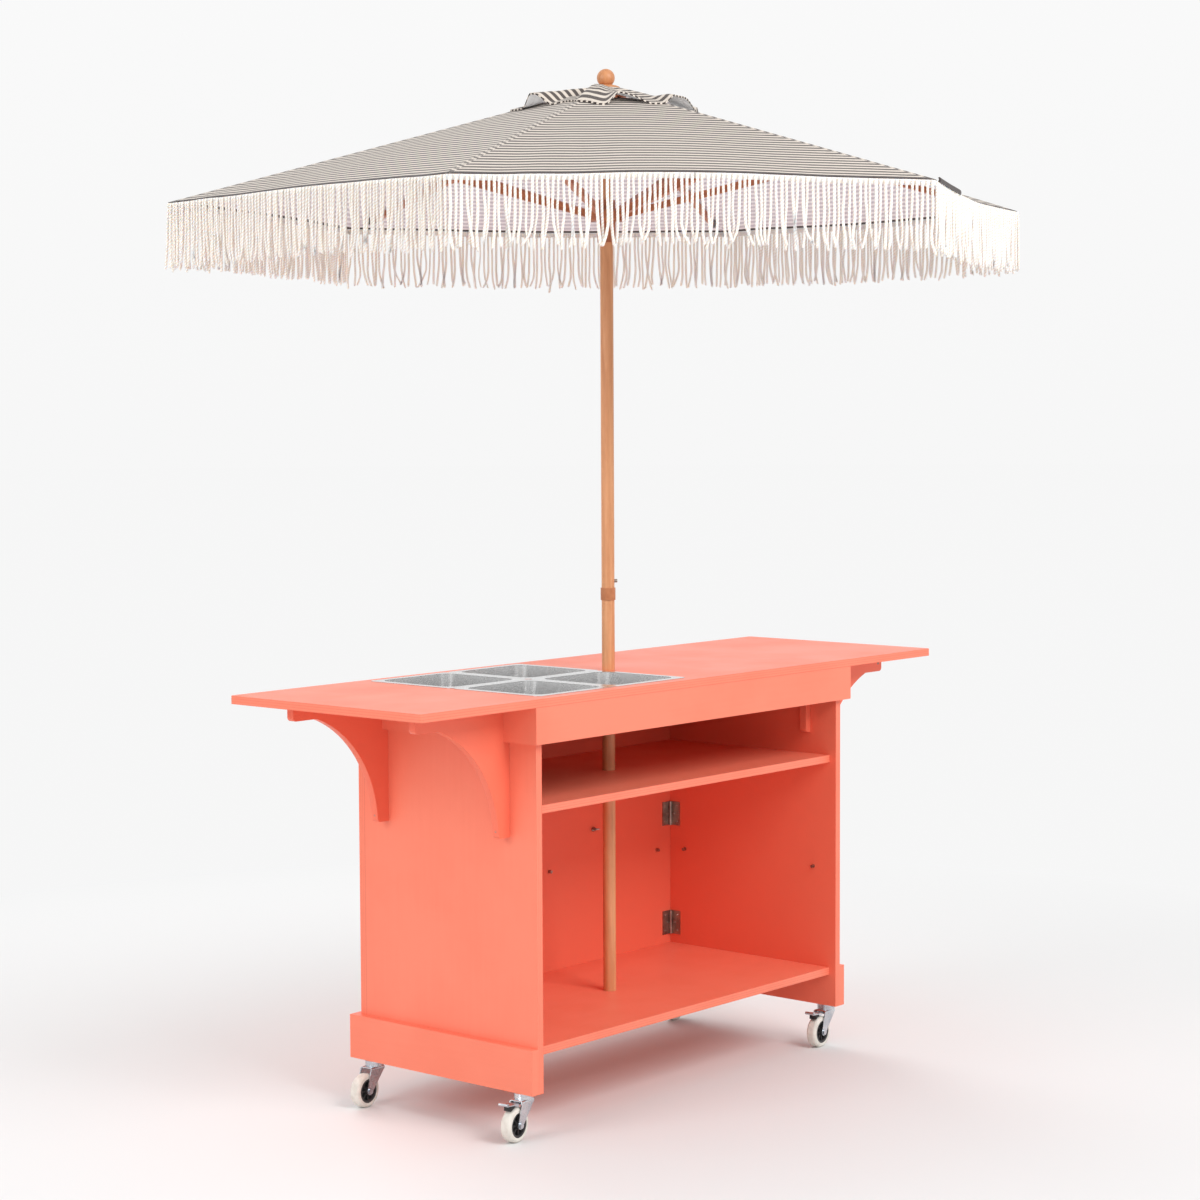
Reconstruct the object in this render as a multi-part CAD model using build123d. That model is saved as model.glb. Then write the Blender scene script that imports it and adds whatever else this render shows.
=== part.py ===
from build123d import *
import os
from math import atan2, cos, degrees, hypot, radians, sin, sqrt, tan

# Plywood bar cart with four drop-in pans, four swivel casters and a fringed folding parasol.
# Millimetres. The origin is on the floor under the pole, +X is right seen from the open front,
# +Y is the back and +Z is up.

# Plywood cabinet
PLY = 18.0
BODY_LENGTH = 1100.0
BODY_DEPTH = 532.0
PANEL_HEIGHT = 829.0
PLINTH_HEIGHT = 98.0
APRON_HEIGHT = 79.0
DECK_RISE = 77.0
SHELF_DROP = 215.0
SHELF_SETBACK = 18.0
TOP_LENGTH = 1824.0
TOP_CORNER = 8.0
TOP_EDGE = 1.5

# Wing brackets under the worktop ends
BRACKET_REACH = 284.0
BRACKET_DROP = 284.0
BRACKET_ARM = 38.0
BRACKET_FLAT = 69.0
BRACKET_FOOT = 34.0
BRACKET_SAG = 47.0
BRACKET_ROUND = 9.0
BRACKET_Y = 181.0
TONGUE_HEIGHT = 80.0
TONGUE_DROP = 4.0
TONGUE_REACH = 18.0
SLOT_GAP = 0.2

# Cabinet hardware
HINGE_HEIGHT = 60.0
HINGE_LEAF = 28.0
HINGE_THICKNESS = 2.0
HINGE_RISE = 22.0
HINGE_DROP = 140.0
KNUCKLE_RADIUS = 4.0
KNUCKLE_GAP = 0.2
HINGE_PIN_RADIUS = 2.0
PEG_RADIUS = 4.0
PEG_LENGTH = 8.0
PEG_DEPTH = 10.0
PEG_RISE = 243.0
PEG_SIDE_Y = 200.0
PEG_BACK_X = (68.0, 477.0)
WING_SCREW_X = 231.0
WING_SCREW_DROP = 175.0
WING_SCREW_RADIUS = 3.0
WING_SCREW_END = 2.0
WING_NUT_RADIUS = 6.0
WING_NUT_HEIGHT = 7.0
WING_NUT_TAPER = 1.5
WING_SPAN = 28.0
WING_HEIGHT = 13.0
WING_FLARE = 4.0
WING_THICKNESS = 2.2

# Drop-in pans
PAN_GAP = 0.6
PAN_FROM_POLE = 27.0
PAN_FROM_SIDE = 23.0
PAN_FROM_EDGE = 10.7
PAN_RIM = 16.0
PAN_RIM_CORNER = 14.0
PAN_CORNER = 30.0
PAN_FLOOR_ROUND = 14.0
PAN_DEPTH = 95.0
PAN_DRAFT = 3.0
PAN_WALL = 1.2
PAN_HOLE_GAP = 2.0

# Casters
CASTER_HEAD = 25.0
CASTER_INSET = 41.0
CASTER_TURNS = {"front_left": 187.0, "front_right": 184.0, "back_left": 184.0, "back_right": 180.0}
WHEEL_DIAMETER = 75.0
WHEEL_WIDTH = 25.0
TRAIL = 35.0
TYRE_THICKNESS = 10.5
TYRE_ROUND = 7.0
HUB_RIM = 5.0
HUB_RIM_INSET = 1.0
HUB_DRAFT = 1.0
HUB_STANDOUT = 1.6
HUB_WEB = 7.0
HUB_BOSS_RADIUS = 9.0
HUB_RIBS = 8
HUB_RIB_WIDTH = 2.4
HUB_RIB_INSET = 3.0
AXLE_RADIUS = 4.0
BOLT_HEAD_RADIUS = 6.5
BOLT_HEAD = 3.5
STEM_RADIUS = 5.0
STEM_LENGTH = 60.0
RACE_RADIUS = 21.0
RACE_HEIGHT = 5.0
CROWN_HEIGHT = 6.5
CROWN_NECK = 12.0
FORK_SHEET = 2.2
FORK_BEND = 4.5
FORK_EYE = 8.5
FORK_SHOULDER = 15.0
RIVET_RADIUS = 8.0
RIVET_HEAD = 2.2
PEDAL_PIVOT_X = 14.0
PEDAL_PIVOT_DROP = 5.5
PEDAL_LENGTH = 60.0
PEDAL_SIDE_GAP = 2.9
PEDAL_SHEET = 2.2
PEDAL_SLOPE = 4.0
PEDAL_CURL = 3.6
PEDAL_PIN_RADIUS = 2.0
PEDAL_PIN_END = 0.5
PEDAL_EAR = 4.2
PEDAL_TRAVEL = 6.0
SHOE_LENGTH = 13.0
SHOE_WIDTH = 19.0
SHOE_FROM_PIVOT = 39.0
SHOE_GAP = 0.4

# Parasol pole
POLE_DIAMETER = 30.0
LOWER_POLE = 929.0
UPPER_POLE = 1137.6
POLE_HOLE_GAP = 0.5
FERRULE_LENGTH = 28.0
FERRULE_WALL = 2.25
BUTTON_RADIUS = 4.0
BUTTON_STANDOUT = 6.7
BUTTON_SHANK = 7.5
BUTTON_TRAVEL = 5.0
BUTTON_RISE = 30.0
BUTTON_TURN = -49.5

# Parasol ribs, struts, hub and runner
SIDES = 6
RIB_TURN = 22.2
RIB_SLOPE = 14.5
HEM_OVERHANG = 96.0
RIB_WIDTH = 12.0
RIB_HEIGHT = 18.0
RIB_TIP = 12.0
RIB_EYE = 8.0
RIB_SHOULDER = 60.0
CAP_LENGTH = 24.0
CAP_WALL = 1.5
STRUT_LENGTH = 510.0
STRUT_HEIGHT = 19.0
STRUT_WIDTH = 14.0
STRUT_EYE = 7.5
STRUT_TAPER = 65.0
FORK_CHEEK = 5.0
FORK_SLOT = 60.0
FORK_BRIDGE = 15.0
PIVOT_RADIUS = 34.0
PIVOT_PIN_RADIUS = 2.0
PIN_STUB = 4.0
JOINT_GAP = 0.3
HUB_LIP = 12.0
HUB_HEIGHT = 36.0
HUB_PIVOT_DROP = 14.0
HUB_CHAMFER = 4.0
HUB_BOSS = 20.0
HUB_BOSS_HEIGHT = 15.0
PIN_SEAT = 3.0
EYE_GAP = 0.5
RUNNER_WALL = 6.0
RUNNER_BELOW = 62.0
RUNNER_ABOVE = 34.0
RUNNER_CHAMFER = 1.0
CROWN_LIP = 10.0
CROWN_BELOW = 14.0
CROWN_ABOVE = 12.0

# Finial
FINIAL_BALL = 41.0
FINIAL_NECK = 12.5
FINIAL_FLANGE = 32.0
FINIAL_FLANGE_EDGE = 2.5
FINIAL_RISE = 23.5
FINIAL_COVE = 1.5
SPIGOT_RADIUS = 5.0
SPIGOT_DEPTH = 25.0

# Canopy, vent cap and fringe
CLOTH = 3.0
CLOTH_GAP = 0.3
CANOPY_RADIUS = 992.0
CANOPY_LIFT = 0.9
HEM_PULL = 13.0
HEM_RISE = 10.0
VENT_RADIUS = 150.0
CAP_RADIUS = 217.0
CAP_LIFT = 4.6
CAP_CLOTH = 2.4
CAP_FLAT = 34.0
CAP_STEPS = 8
CAP_BULGE = 9.0
CAP_RUFFLE = 4.0
HEADER_THICKNESS = 4.0
HEADER_HEIGHT = 14.0
STRANDS_PER_HALF = 33
STRAND_LENGTH = 142.0
STRAND_WIDTH = 5.0
STRAND_DEPTH = 3.4
STRAND_TAPER = 0.8
STRAND_LEAN = 3.0
STRAND_VARIATION = 3.0
STRAND_ROOT = 1.0
STRAND_PHASES = (2.4, 1.7, 3.9)

# Fits
RUN_FIT = 0.05
SLIDE_FIT = 0.1
SEAT_GAP = 0.2
CUT_PAST = 1.0

# Heights and faces that follow from the sizes above
half_length = BODY_LENGTH / 2
half_depth = BODY_DEPTH / 2
inner_half = half_length - PLY
inner_back = half_depth - PLY
outer_half = half_length + PLY
outer_depth = half_depth + PLY
caster_height = WHEEL_DIAMETER + CASTER_HEAD
body_top = caster_height + PANEL_HEIGHT
top_face = body_top + PLY
apron_low = body_top - APRON_HEIGHT
deck_z = caster_height + DECK_RISE
deck_top = deck_z + PLY
shelf_z = body_top - SHELF_DROP - PLY
tongue_top = apron_low - TONGUE_DROP
tongue_low = tongue_top - TONGUE_HEIGHT
caster_y = half_depth - CASTER_INSET
pan_length = (half_length - PAN_FROM_SIDE - PAN_FROM_POLE - PAN_GAP) / 2
pan_width = half_depth - PAN_FROM_EDGE - PAN_GAP / 2
wing_screw_z = shelf_z - WING_SCREW_DROP
peg_z = deck_top + PEG_RISE
pole_radius = POLE_DIAMETER / 2
pole_foot = deck_top + SEAT_GAP
pole_joint = pole_foot + LOWER_POLE
pole_top = pole_joint + SEAT_GAP + UPPER_POLE
button_z = pole_joint + BUTTON_RISE
rib_pivot_z = pole_top - HUB_PIVOT_DROP
rib_length = (CANOPY_RADIUS - HEM_OVERHANG - PIVOT_RADIUS) / cos(radians(RIB_SLOPE))
canopy_slope = radians(RIB_SLOPE + CANOPY_LIFT)
runner_pivot_z = rib_pivot_z - 2 * STRUT_LENGTH * sin(radians(RIB_SLOPE))
rib_turns = [RIB_TURN + side * 360.0 / SIDES for side in range(SIDES)]
half_side = 180.0 / SIDES


def block(x0, x1, y0, y1, z0, z1):
    """Box between two corners."""
    return Pos((x0 + x1) / 2, (y0 + y1) / 2, (z0 + z1) / 2) * Box(x1 - x0, y1 - y0, z1 - z0)


def rod(radius, z0, z1, x=0.0, y=0.0):
    """Upright cylinder."""
    return Pos(x, y, (z0 + z1) / 2) * Cylinder(radius, z1 - z0)


def cross_rod(radius, length, x=0.0, z=0.0):
    """Cylinder along Y, centred on Y = 0."""
    return Pos(x, 0, z) * Rot(90, 0, 0) * Cylinder(radius, length)


def plate(face, thickness):
    """Plate from a face drawn in X and Z, centred on Y = 0."""
    return extrude(Plane.XZ * face, thickness / 2, both=True)


def turned(profile):
    """Solid of revolution about Z from a face drawn in radius and Z."""
    return revolve(Plane.XZ * profile, Axis.Z)


def outline(*points):
    return make_face(Polyline(*points, close=True))


def rounded(face, corners, radius):
    """Face with the named corners rounded."""
    picked = [v for v in face.vertices() if any(hypot(v.X - x, v.Y - y) < 0.01 for x, y in corners)]
    return fillet(picked, radius)


def both_sides(solid):
    """The solid on the right and its mirror image on the left."""
    return [solid, mirror(solid, Plane.YZ)]


def spread(solid, turns):
    """Copies of a solid turned about the pole."""
    return [Rot(0, 0, turn) * solid for turn in turns]


# Cabinet panels


def stem_holes(x):
    end = caster_height + STEM_LENGTH + SEAT_GAP
    return [rod(STEM_RADIUS + RUN_FIT, caster_height, end, x, y) for y in (-caster_y, caster_y)]


def peg(radius, length):
    """Round peg along X from x = 0."""
    return Pos(length / 2, 0, 0) * Rot(0, 90, 0) * Cylinder(radius, length)


def peg_places():
    """Seat of each shelf peg: on the inner panel faces, X axis pointing out of the panel."""
    sides = [
        Pos(side * inner_half, y, peg_z) * Rot(0, 0, 90 + 90 * side)
        for side in (-1, 1)
        for y in (-PEG_SIDE_Y, PEG_SIDE_Y)
    ]
    backs = [Pos(side * x, inner_back, peg_z) * Rot(0, 0, -90) for side in (-1, 1) for x in PEG_BACK_X]
    return sides, backs


def side_panel():
    """Right side panel with tongue slots, caster stem grooves and peg holes."""
    panel = block(inner_half, half_length, -half_depth, inner_back, caster_height, body_top)
    half_slot = PLY / 2 + SLOT_GAP
    for y in (-BRACKET_Y, BRACKET_Y):
        panel -= block(
            inner_half,
            half_length,
            y - half_slot,
            y + half_slot,
            tongue_low - SLOT_GAP,
            tongue_top + SLOT_GAP,
        )
    for y in (-PEG_SIDE_Y, PEG_SIDE_Y):
        panel -= Pos(inner_half, y, peg_z) * peg(PEG_RADIUS + RUN_FIT, PEG_DEPTH)
    for hole in stem_holes(half_length):
        panel -= hole
    return panel


def back_panel():
    panel = block(-half_length, half_length, inner_back, half_depth, caster_height, body_top)
    for place in peg_places()[1]:
        panel -= place * Pos(-PEG_DEPTH, 0, 0) * peg(PEG_RADIUS + RUN_FIT, PEG_DEPTH)
    for x in (-WING_SCREW_X, WING_SCREW_X):
        panel -= Pos(x, inner_back, wing_screw_z) * Rot(0, 0, 90) * peg(WING_SCREW_RADIUS + RUN_FIT, PLY)
    return panel


def deck(z):
    """Board between the side panels, set back from their front edges."""
    return block(-inner_half, inner_half, -half_depth + SHELF_SETBACK, inner_back, z, z + PLY)


def pan_centres():
    step_x = pan_length + PAN_GAP
    step_y = pan_width + PAN_GAP
    right = -PAN_FROM_POLE - pan_length / 2
    return {
        "pan_front_left": (right - step_x, -step_y / 2),
        "pan_front_right": (right, -step_y / 2),
        "pan_back_left": (right - step_x, step_y / 2),
        "pan_back_right": (right, step_y / 2),
    }


def pan_plan(inset, corner):
    """Plan of the pan, this far inside its rim edge."""
    return RectangleRounded(pan_length - 2 * inset, pan_width - 2 * inset, corner)


def worktop():
    plan = RectangleRounded(TOP_LENGTH, 2 * outer_depth, TOP_CORNER)
    top = Pos(0, 0, body_top) * extrude(plan, PLY)
    top = fillet(top.faces().sort_by(Axis.Z)[-1].edges(), TOP_EDGE)
    for x, y in pan_centres().values():
        hole = pan_plan(PAN_RIM - PAN_HOLE_GAP, PAN_CORNER + PAN_HOLE_GAP)
        top -= Pos(x, y, body_top) * extrude(hole, PLY)
    return top - rod(pole_radius + POLE_HOLE_GAP, body_top, top_face)


def apron(y):
    return block(-outer_half, outer_half, y, y + PLY, apron_low, body_top)


def side_apron():
    return block(half_length, outer_half, -half_depth, half_depth, apron_low, body_top)


def plinths():
    z = caster_height + PLINTH_HEIGHT
    side = block(half_length, outer_half, -half_depth, half_depth, caster_height, z)
    for hole in stem_holes(half_length):
        side -= hole
    return both_sides(side) + [block(-outer_half, outer_half, half_depth, outer_depth, caster_height, z)]


def wing_bracket():
    """Bracket on the right: arm under the worktop, curved leg on the panel and a tongue through the panel."""
    tip = half_length + BRACKET_REACH
    arm_z = body_top - BRACKET_ARM
    foot_z = body_top - BRACKET_DROP
    foot_x = half_length + BRACKET_FOOT
    tongue_x = inner_half - TONGUE_REACH
    arc_start = (tip - BRACKET_FLAT, arm_z)
    arc_end = (foot_x, foot_z)
    edge = Polyline((outer_half, body_top), (tip, body_top), (tip, arm_z), arc_start)
    edge += SagittaArc(arc_start, arc_end, -BRACKET_SAG)
    edge += Polyline(
        arc_end,
        (half_length, foot_z),
        (half_length, tongue_low),
        (tongue_x, tongue_low),
        (tongue_x, tongue_top),
        (half_length, tongue_top),
        (half_length, apron_low),
        (outer_half, apron_low),
        (outer_half, body_top),
    )
    face = rounded(make_face(edge), [(tip, arm_z), arc_end, (tongue_x, tongue_low)], BRACKET_ROUND)
    return plate(face, PLY)


# Cabinet hardware


def butt_hinge(z):
    """Two leaves and a pin in the right rear corner."""
    offset = KNUCKLE_RADIUS + KNUCKLE_GAP
    x, y = inner_half - offset, inner_back - offset
    third = HINGE_HEIGHT / 3
    side_leaf = block(inner_half - HINGE_THICKNESS, inner_half, y - HINGE_LEAF, y, z, z + HINGE_HEIGHT)
    back_leaf = block(x - HINGE_LEAF, x, inner_back - HINGE_THICKNESS, inner_back, z, z + HINGE_HEIGHT)
    for step in range(3):
        low = z + step * third
        knuckle = rod(KNUCKLE_RADIUS, low + KNUCKLE_GAP, low + third - KNUCKLE_GAP, x, y)
        room = rod(KNUCKLE_RADIUS + KNUCKLE_GAP, low - KNUCKLE_GAP, low + third + KNUCKLE_GAP, x, y)
        if step == 1:
            side_leaf -= room
            back_leaf += knuckle
        else:
            back_leaf -= room
            side_leaf += knuckle
    bore = rod(HINGE_PIN_RADIUS + RUN_FIT, z, z + HINGE_HEIGHT, x, y)
    pin = rod(HINGE_PIN_RADIUS, z, z + HINGE_HEIGHT, x, y)
    return [side_leaf - bore, back_leaf - bore, pin]


def butt_hinges():
    solids = []
    for z in (deck_top + HINGE_RISE, shelf_z - HINGE_DROP - HINGE_HEIGHT):
        for solid in butt_hinge(z):
            solids += both_sides(solid)
    return solids


def shelf_pegs():
    sides, backs = peg_places()
    length = PEG_DEPTH + PEG_LENGTH
    return [place * Pos(-PEG_DEPTH, 0, 0) * peg(PEG_RADIUS, length) for place in sides + backs]


def wing_screws():
    """Screws through the back panel with wing nuts on its inner face."""
    nut = Cone(WING_NUT_RADIUS, WING_NUT_RADIUS - WING_NUT_TAPER, WING_NUT_HEIGHT)
    nut = Pos(0, 0, WING_NUT_HEIGHT / 2) * nut
    half = WING_SPAN / 2
    wing = outline(
        (0, 0),
        (half - WING_FLARE, WING_FLARE),
        (half, WING_HEIGHT - WING_FLARE),
        (half - WING_FLARE, WING_HEIGHT),
        (0, WING_NUT_HEIGHT),
    )
    nut += plate(wing, WING_THICKNESS) + plate(mirror(wing, Plane.YZ), WING_THICKNESS)
    screw = nut + rod(WING_SCREW_RADIUS, -PLY, WING_NUT_HEIGHT + WING_SCREW_END)
    return [Pos(x, inner_back, wing_screw_z) * Rot(90, 0, 0) * screw for x in (-WING_SCREW_X, WING_SCREW_X)]


# Pans


def pan_body(inset, corner, depth, floor_round):
    """Tapered block below the rim plane with a rounded floor edge."""
    body = extrude(pan_plan(inset, corner), -depth, taper=PAN_DRAFT)
    return fillet(body.faces().sort_by(Axis.Z)[0].edges(), floor_round)


def pan():
    """Pan with its rim underside at z = 0."""
    inset = PAN_RIM + PAN_WALL
    corner = PAN_CORNER - PAN_WALL
    rim = extrude(pan_plan(0, PAN_RIM_CORNER), PAN_WALL)
    outside = pan_body(PAN_RIM, PAN_CORNER, PAN_DEPTH, PAN_FLOOR_ROUND)
    inside = pan_body(inset, corner, PAN_DEPTH - PAN_WALL, PAN_FLOOR_ROUND - PAN_WALL)
    mouth = extrude(pan_plan(inset, corner), PAN_WALL)
    return rim + outside - inside - mouth


# Casters, drawn with the kingpin on Z and the wheel trailing towards +X

axle_z = WHEEL_DIAMETER / 2
hub_radius = WHEEL_DIAMETER / 2 - TYRE_THICKNESS
race_z = caster_height - RACE_HEIGHT
crown_z = race_z - JOINT_GAP - CROWN_HEIGHT
hub_half = WHEEL_WIDTH / 2 + HUB_STANDOUT
fork_inner = hub_half + JOINT_GAP
fork_outer = fork_inner + FORK_SHEET
pedal_width = 2 * (fork_inner - PEDAL_SIDE_GAP)
pedal_z = crown_z - FORK_SHEET - PEDAL_PIVOT_DROP


def caster_stem():
    """Stem, fixed race and kingpin with its rivet head under the fork."""
    rivet_z = crown_z - FORK_SHEET - SEAT_GAP - RIVET_HEAD
    stem = rod(STEM_RADIUS, rivet_z, caster_height + STEM_LENGTH)
    stem += rod(RACE_RADIUS, race_z, caster_height)
    return stem + rod(RIVET_RADIUS, rivet_z, rivet_z + RIVET_HEAD)


def caster_fork(braked):
    """Pressed fork with its swivel crown, axle bolt and, on braked casters, the pedal pin."""
    top = crown_z
    channel = Pos(0, 0, top / 2) * Box(4 * RACE_RADIUS + 2 * TRAIL, 2 * fork_outer, top)
    bends = channel.edges().filter_by(Axis.X).group_by(Axis.Z)[-1]
    channel = fillet(bends, FORK_BEND)
    core_top = top - FORK_SHEET
    core = Pos(0, 0, core_top / 2) * Box(5 * RACE_RADIUS + 2 * TRAIL, 2 * fork_inner, core_top)
    core = fillet(core.edges().filter_by(Axis.X).group_by(Axis.Z)[-1], FORK_BEND - FORK_SHEET)
    corner = FORK_SHEET * 2
    shoulders = [
        Pos(x, top - corner) * Circle(corner) for x in (-FORK_SHOULDER + corner, RACE_RADIUS + corner)
    ]
    shape = shoulders[0] + shoulders[1] + Pos(TRAIL, axle_z) * Circle(FORK_EYE)
    side = make_hull(shape.edges())
    fork = (channel - core) & plate(side, 2 * (fork_outer + CUT_PAST))
    fork += rod(RACE_RADIUS, crown_z, race_z - JOINT_GAP) + rod(CROWN_NECK, core_top, crown_z)
    fork -= rod(STEM_RADIUS + RUN_FIT, core_top, race_z)
    fork -= cross_rod(AXLE_RADIUS, 2 * (fork_outer + CUT_PAST), TRAIL, axle_z)
    bolt = cross_rod(AXLE_RADIUS, 2 * (fork_outer + BOLT_HEAD), TRAIL, axle_z)
    head = cross_rod(BOLT_HEAD_RADIUS, BOLT_HEAD, TRAIL, axle_z)
    for y in (-fork_outer - BOLT_HEAD / 2, fork_outer + BOLT_HEAD / 2):
        bolt += Pos(0, y, 0) * head
    solids = [fork, bolt]
    if braked:
        pin = cross_rod(PEDAL_PIN_RADIUS, 2 * (fork_outer + PEDAL_PIN_END), PEDAL_PIVOT_X, pedal_z)
        solids = [fork - pin, bolt, pin]
    return solids


def wheel_hub():
    """Ribbed hub: rim, thin web, boss and radial ribs, turning on the axle bolt."""
    half = WHEEL_WIDTH / 2 - HUB_RIM_INSET
    web = HUB_WEB / 2
    rim_in = hub_radius - HUB_RIM
    profile = outline(
        (AXLE_RADIUS + RUN_FIT, -hub_half),
        (HUB_BOSS_RADIUS, -hub_half),
        (HUB_BOSS_RADIUS + HUB_DRAFT, -web),
        (rim_in - HUB_DRAFT, -web),
        (rim_in, -half),
        (hub_radius - RUN_FIT, -half),
        (hub_radius - RUN_FIT, half),
        (rim_in, half),
        (rim_in - HUB_DRAFT, web),
        (HUB_BOSS_RADIUS + HUB_DRAFT, web),
        (HUB_BOSS_RADIUS, hub_half),
        (AXLE_RADIUS + RUN_FIT, hub_half),
    )
    hub = turned(profile)
    rib_half = WHEEL_WIDTH / 2 - HUB_RIB_INSET
    rib = block(
        HUB_BOSS_RADIUS - HUB_DRAFT,
        rim_in + HUB_DRAFT,
        -HUB_RIB_WIDTH / 2,
        HUB_RIB_WIDTH / 2,
        -rib_half,
        rib_half,
    )
    for step in range(HUB_RIBS):
        hub += Rot(0, 0, step * 360 / HUB_RIBS) * rib
    return Pos(TRAIL, 0, axle_z) * Rot(90, 0, 0) * hub


def tyre():
    half = WHEEL_WIDTH / 2
    radius = WHEEL_DIAMETER / 2
    section = outline((hub_radius, -half), (radius, -half), (radius, half), (hub_radius, half))
    shoulder = min(TYRE_ROUND, 0.9 * TYRE_THICKNESS, 0.9 * half)
    section = rounded(section, [(radius, -half), (radius, half)], shoulder)
    return Pos(TRAIL, 0, axle_z) * Rot(90, 0, 0) * turned(section)


def brake_pedal():
    """Pedal on its pin, with a curled tip and a shoe that stops just short of the tyre when pressed."""
    sheet = PEDAL_SHEET
    arm = outline((-PEDAL_EAR, 0), (PEDAL_LENGTH, 0), (PEDAL_LENGTH, sheet), (-PEDAL_EAR, sheet))
    pedal = plate(arm, pedal_width)
    pedal += cross_rod(PEDAL_EAR, pedal_width, 0, 0)
    pedal += cross_rod(PEDAL_CURL, pedal_width, PEDAL_LENGTH, PEDAL_CURL)
    pedal -= cross_rod(PEDAL_CURL - sheet, pedal_width, PEDAL_LENGTH, PEDAL_CURL)
    pedal -= cross_rod(PEDAL_PIN_RADIUS + RUN_FIT, pedal_width, 0, 0)
    shoe = block(
        SHOE_FROM_PIVOT - SHOE_LENGTH / 2,
        SHOE_FROM_PIVOT + SHOE_LENGTH / 2,
        -SHOE_WIDTH / 2,
        SHOE_WIDTH / 2,
        -WHEEL_DIAMETER / 2,
        sheet / 2,
    )
    pressed = Pos(PEDAL_PIVOT_X, 0, pedal_z) * Rot(0, PEDAL_TRAVEL - PEDAL_SLOPE, 0)
    tread = cross_rod(WHEEL_DIAMETER / 2 + SHOE_GAP, 2 * WHEEL_WIDTH, TRAIL, axle_z)
    shoe -= pressed.inverse() * tread
    shoe = shoe.solids().sort_by(Axis.Z)[-1]
    return Pos(PEDAL_PIVOT_X, 0, pedal_z) * Rot(0, -PEDAL_SLOPE, 0) * (pedal + shoe)


def caster_place(name):
    x = half_length if name.endswith("right") else -half_length
    y = caster_y if name.startswith("back") else -caster_y
    return Pos(x, y, 0) * Rot(0, 0, CASTER_TURNS[name])


# Pole


def lower_pole():
    return rod(pole_radius, pole_foot, pole_joint)


def pole_ferrule():
    """Metal sleeve fixed on the lower pole; the upper pole turns in its upper half."""
    low = pole_joint - FERRULE_LENGTH / 2
    sleeve = rod(pole_radius + FERRULE_WALL, low, low + FERRULE_LENGTH)
    return sleeve - rod(pole_radius + RUN_FIT, low, low + FERRULE_LENGTH)


def button_place():
    return Rot(0, 0, BUTTON_TURN) * Pos(pole_radius - BUTTON_SHANK, 0, button_z)


def lock_button():
    """Round spring button standing out of the upper pole."""
    button = peg(BUTTON_RADIUS, BUTTON_SHANK + BUTTON_STANDOUT)
    button = fillet(button.faces().sort_by(Axis.X)[-1].edges(), BUTTON_RADIUS / 3)
    return button_place() * button


def upper_pole():
    pole = rod(pole_radius, pole_joint + SEAT_GAP, pole_top)
    travel = BUTTON_TRAVEL + SEAT_GAP
    bore = peg(BUTTON_RADIUS + RUN_FIT, BUTTON_SHANK + travel + CUT_PAST)
    pole -= button_place() * Pos(-travel, 0, 0) * bore
    return pole - rod(SPIGOT_RADIUS + RUN_FIT, pole_top - SPIGOT_DEPTH - SEAT_GAP, pole_top)


# Parasol frame, drawn on the rib that points along +X

rib_place = Pos(PIVOT_RADIUS, 0, rib_pivot_z) * Rot(0, RIB_SLOPE, 0)
cap_under = pole_top + HUB_BOSS_HEIGHT
cap_top = cap_under + JOINT_GAP + CAP_CLOTH
finial_base = cap_top + JOINT_GAP
hub_slot = RIB_WIDTH + 2 * JOINT_GAP
turned_hub = PIVOT_RADIUS + HUB_LIP
runner_crown = PIVOT_RADIUS + CROWN_LIP


def rib():
    """Tapered rib with an eye at the hub, a pin hole for the strut and a separate end cap."""
    tip = RIB_TIP / 2
    half = RIB_HEIGHT / 2
    side = outline(
        (0, RIB_EYE),
        (RIB_SHOULDER, half),
        (STRUT_LENGTH + FORK_SLOT, half),
        (rib_length, tip),
        (rib_length, -tip),
        (STRUT_LENGTH + FORK_SLOT, -half),
        (RIB_SHOULDER, -half),
        (0, -RIB_EYE),
    )
    bar = plate(side + Circle(RIB_EYE), RIB_WIDTH)
    for x in (0, STRUT_LENGTH):
        bar -= cross_rod(PIVOT_PIN_RADIUS + RUN_FIT, RIB_WIDTH, x)
    half_cap = half_tip_cap()
    cap = block(
        rib_length - CAP_LENGTH,
        rib_length + CAP_WALL,
        -RIB_WIDTH / 2 - CAP_WALL,
        RIB_WIDTH / 2 + CAP_WALL,
        -half_cap,
        half_cap,
    )
    return [rib_place * bar, rib_place * (cap - bar)]


def half_tip_cap():
    """Half the height of the end cap, which covers the rib where it is thickest inside the cap."""
    taper = (RIB_HEIGHT - RIB_TIP) / 2 / (rib_length - STRUT_LENGTH - FORK_SLOT)
    return RIB_TIP / 2 + CAP_LENGTH * taper + CAP_WALL


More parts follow.
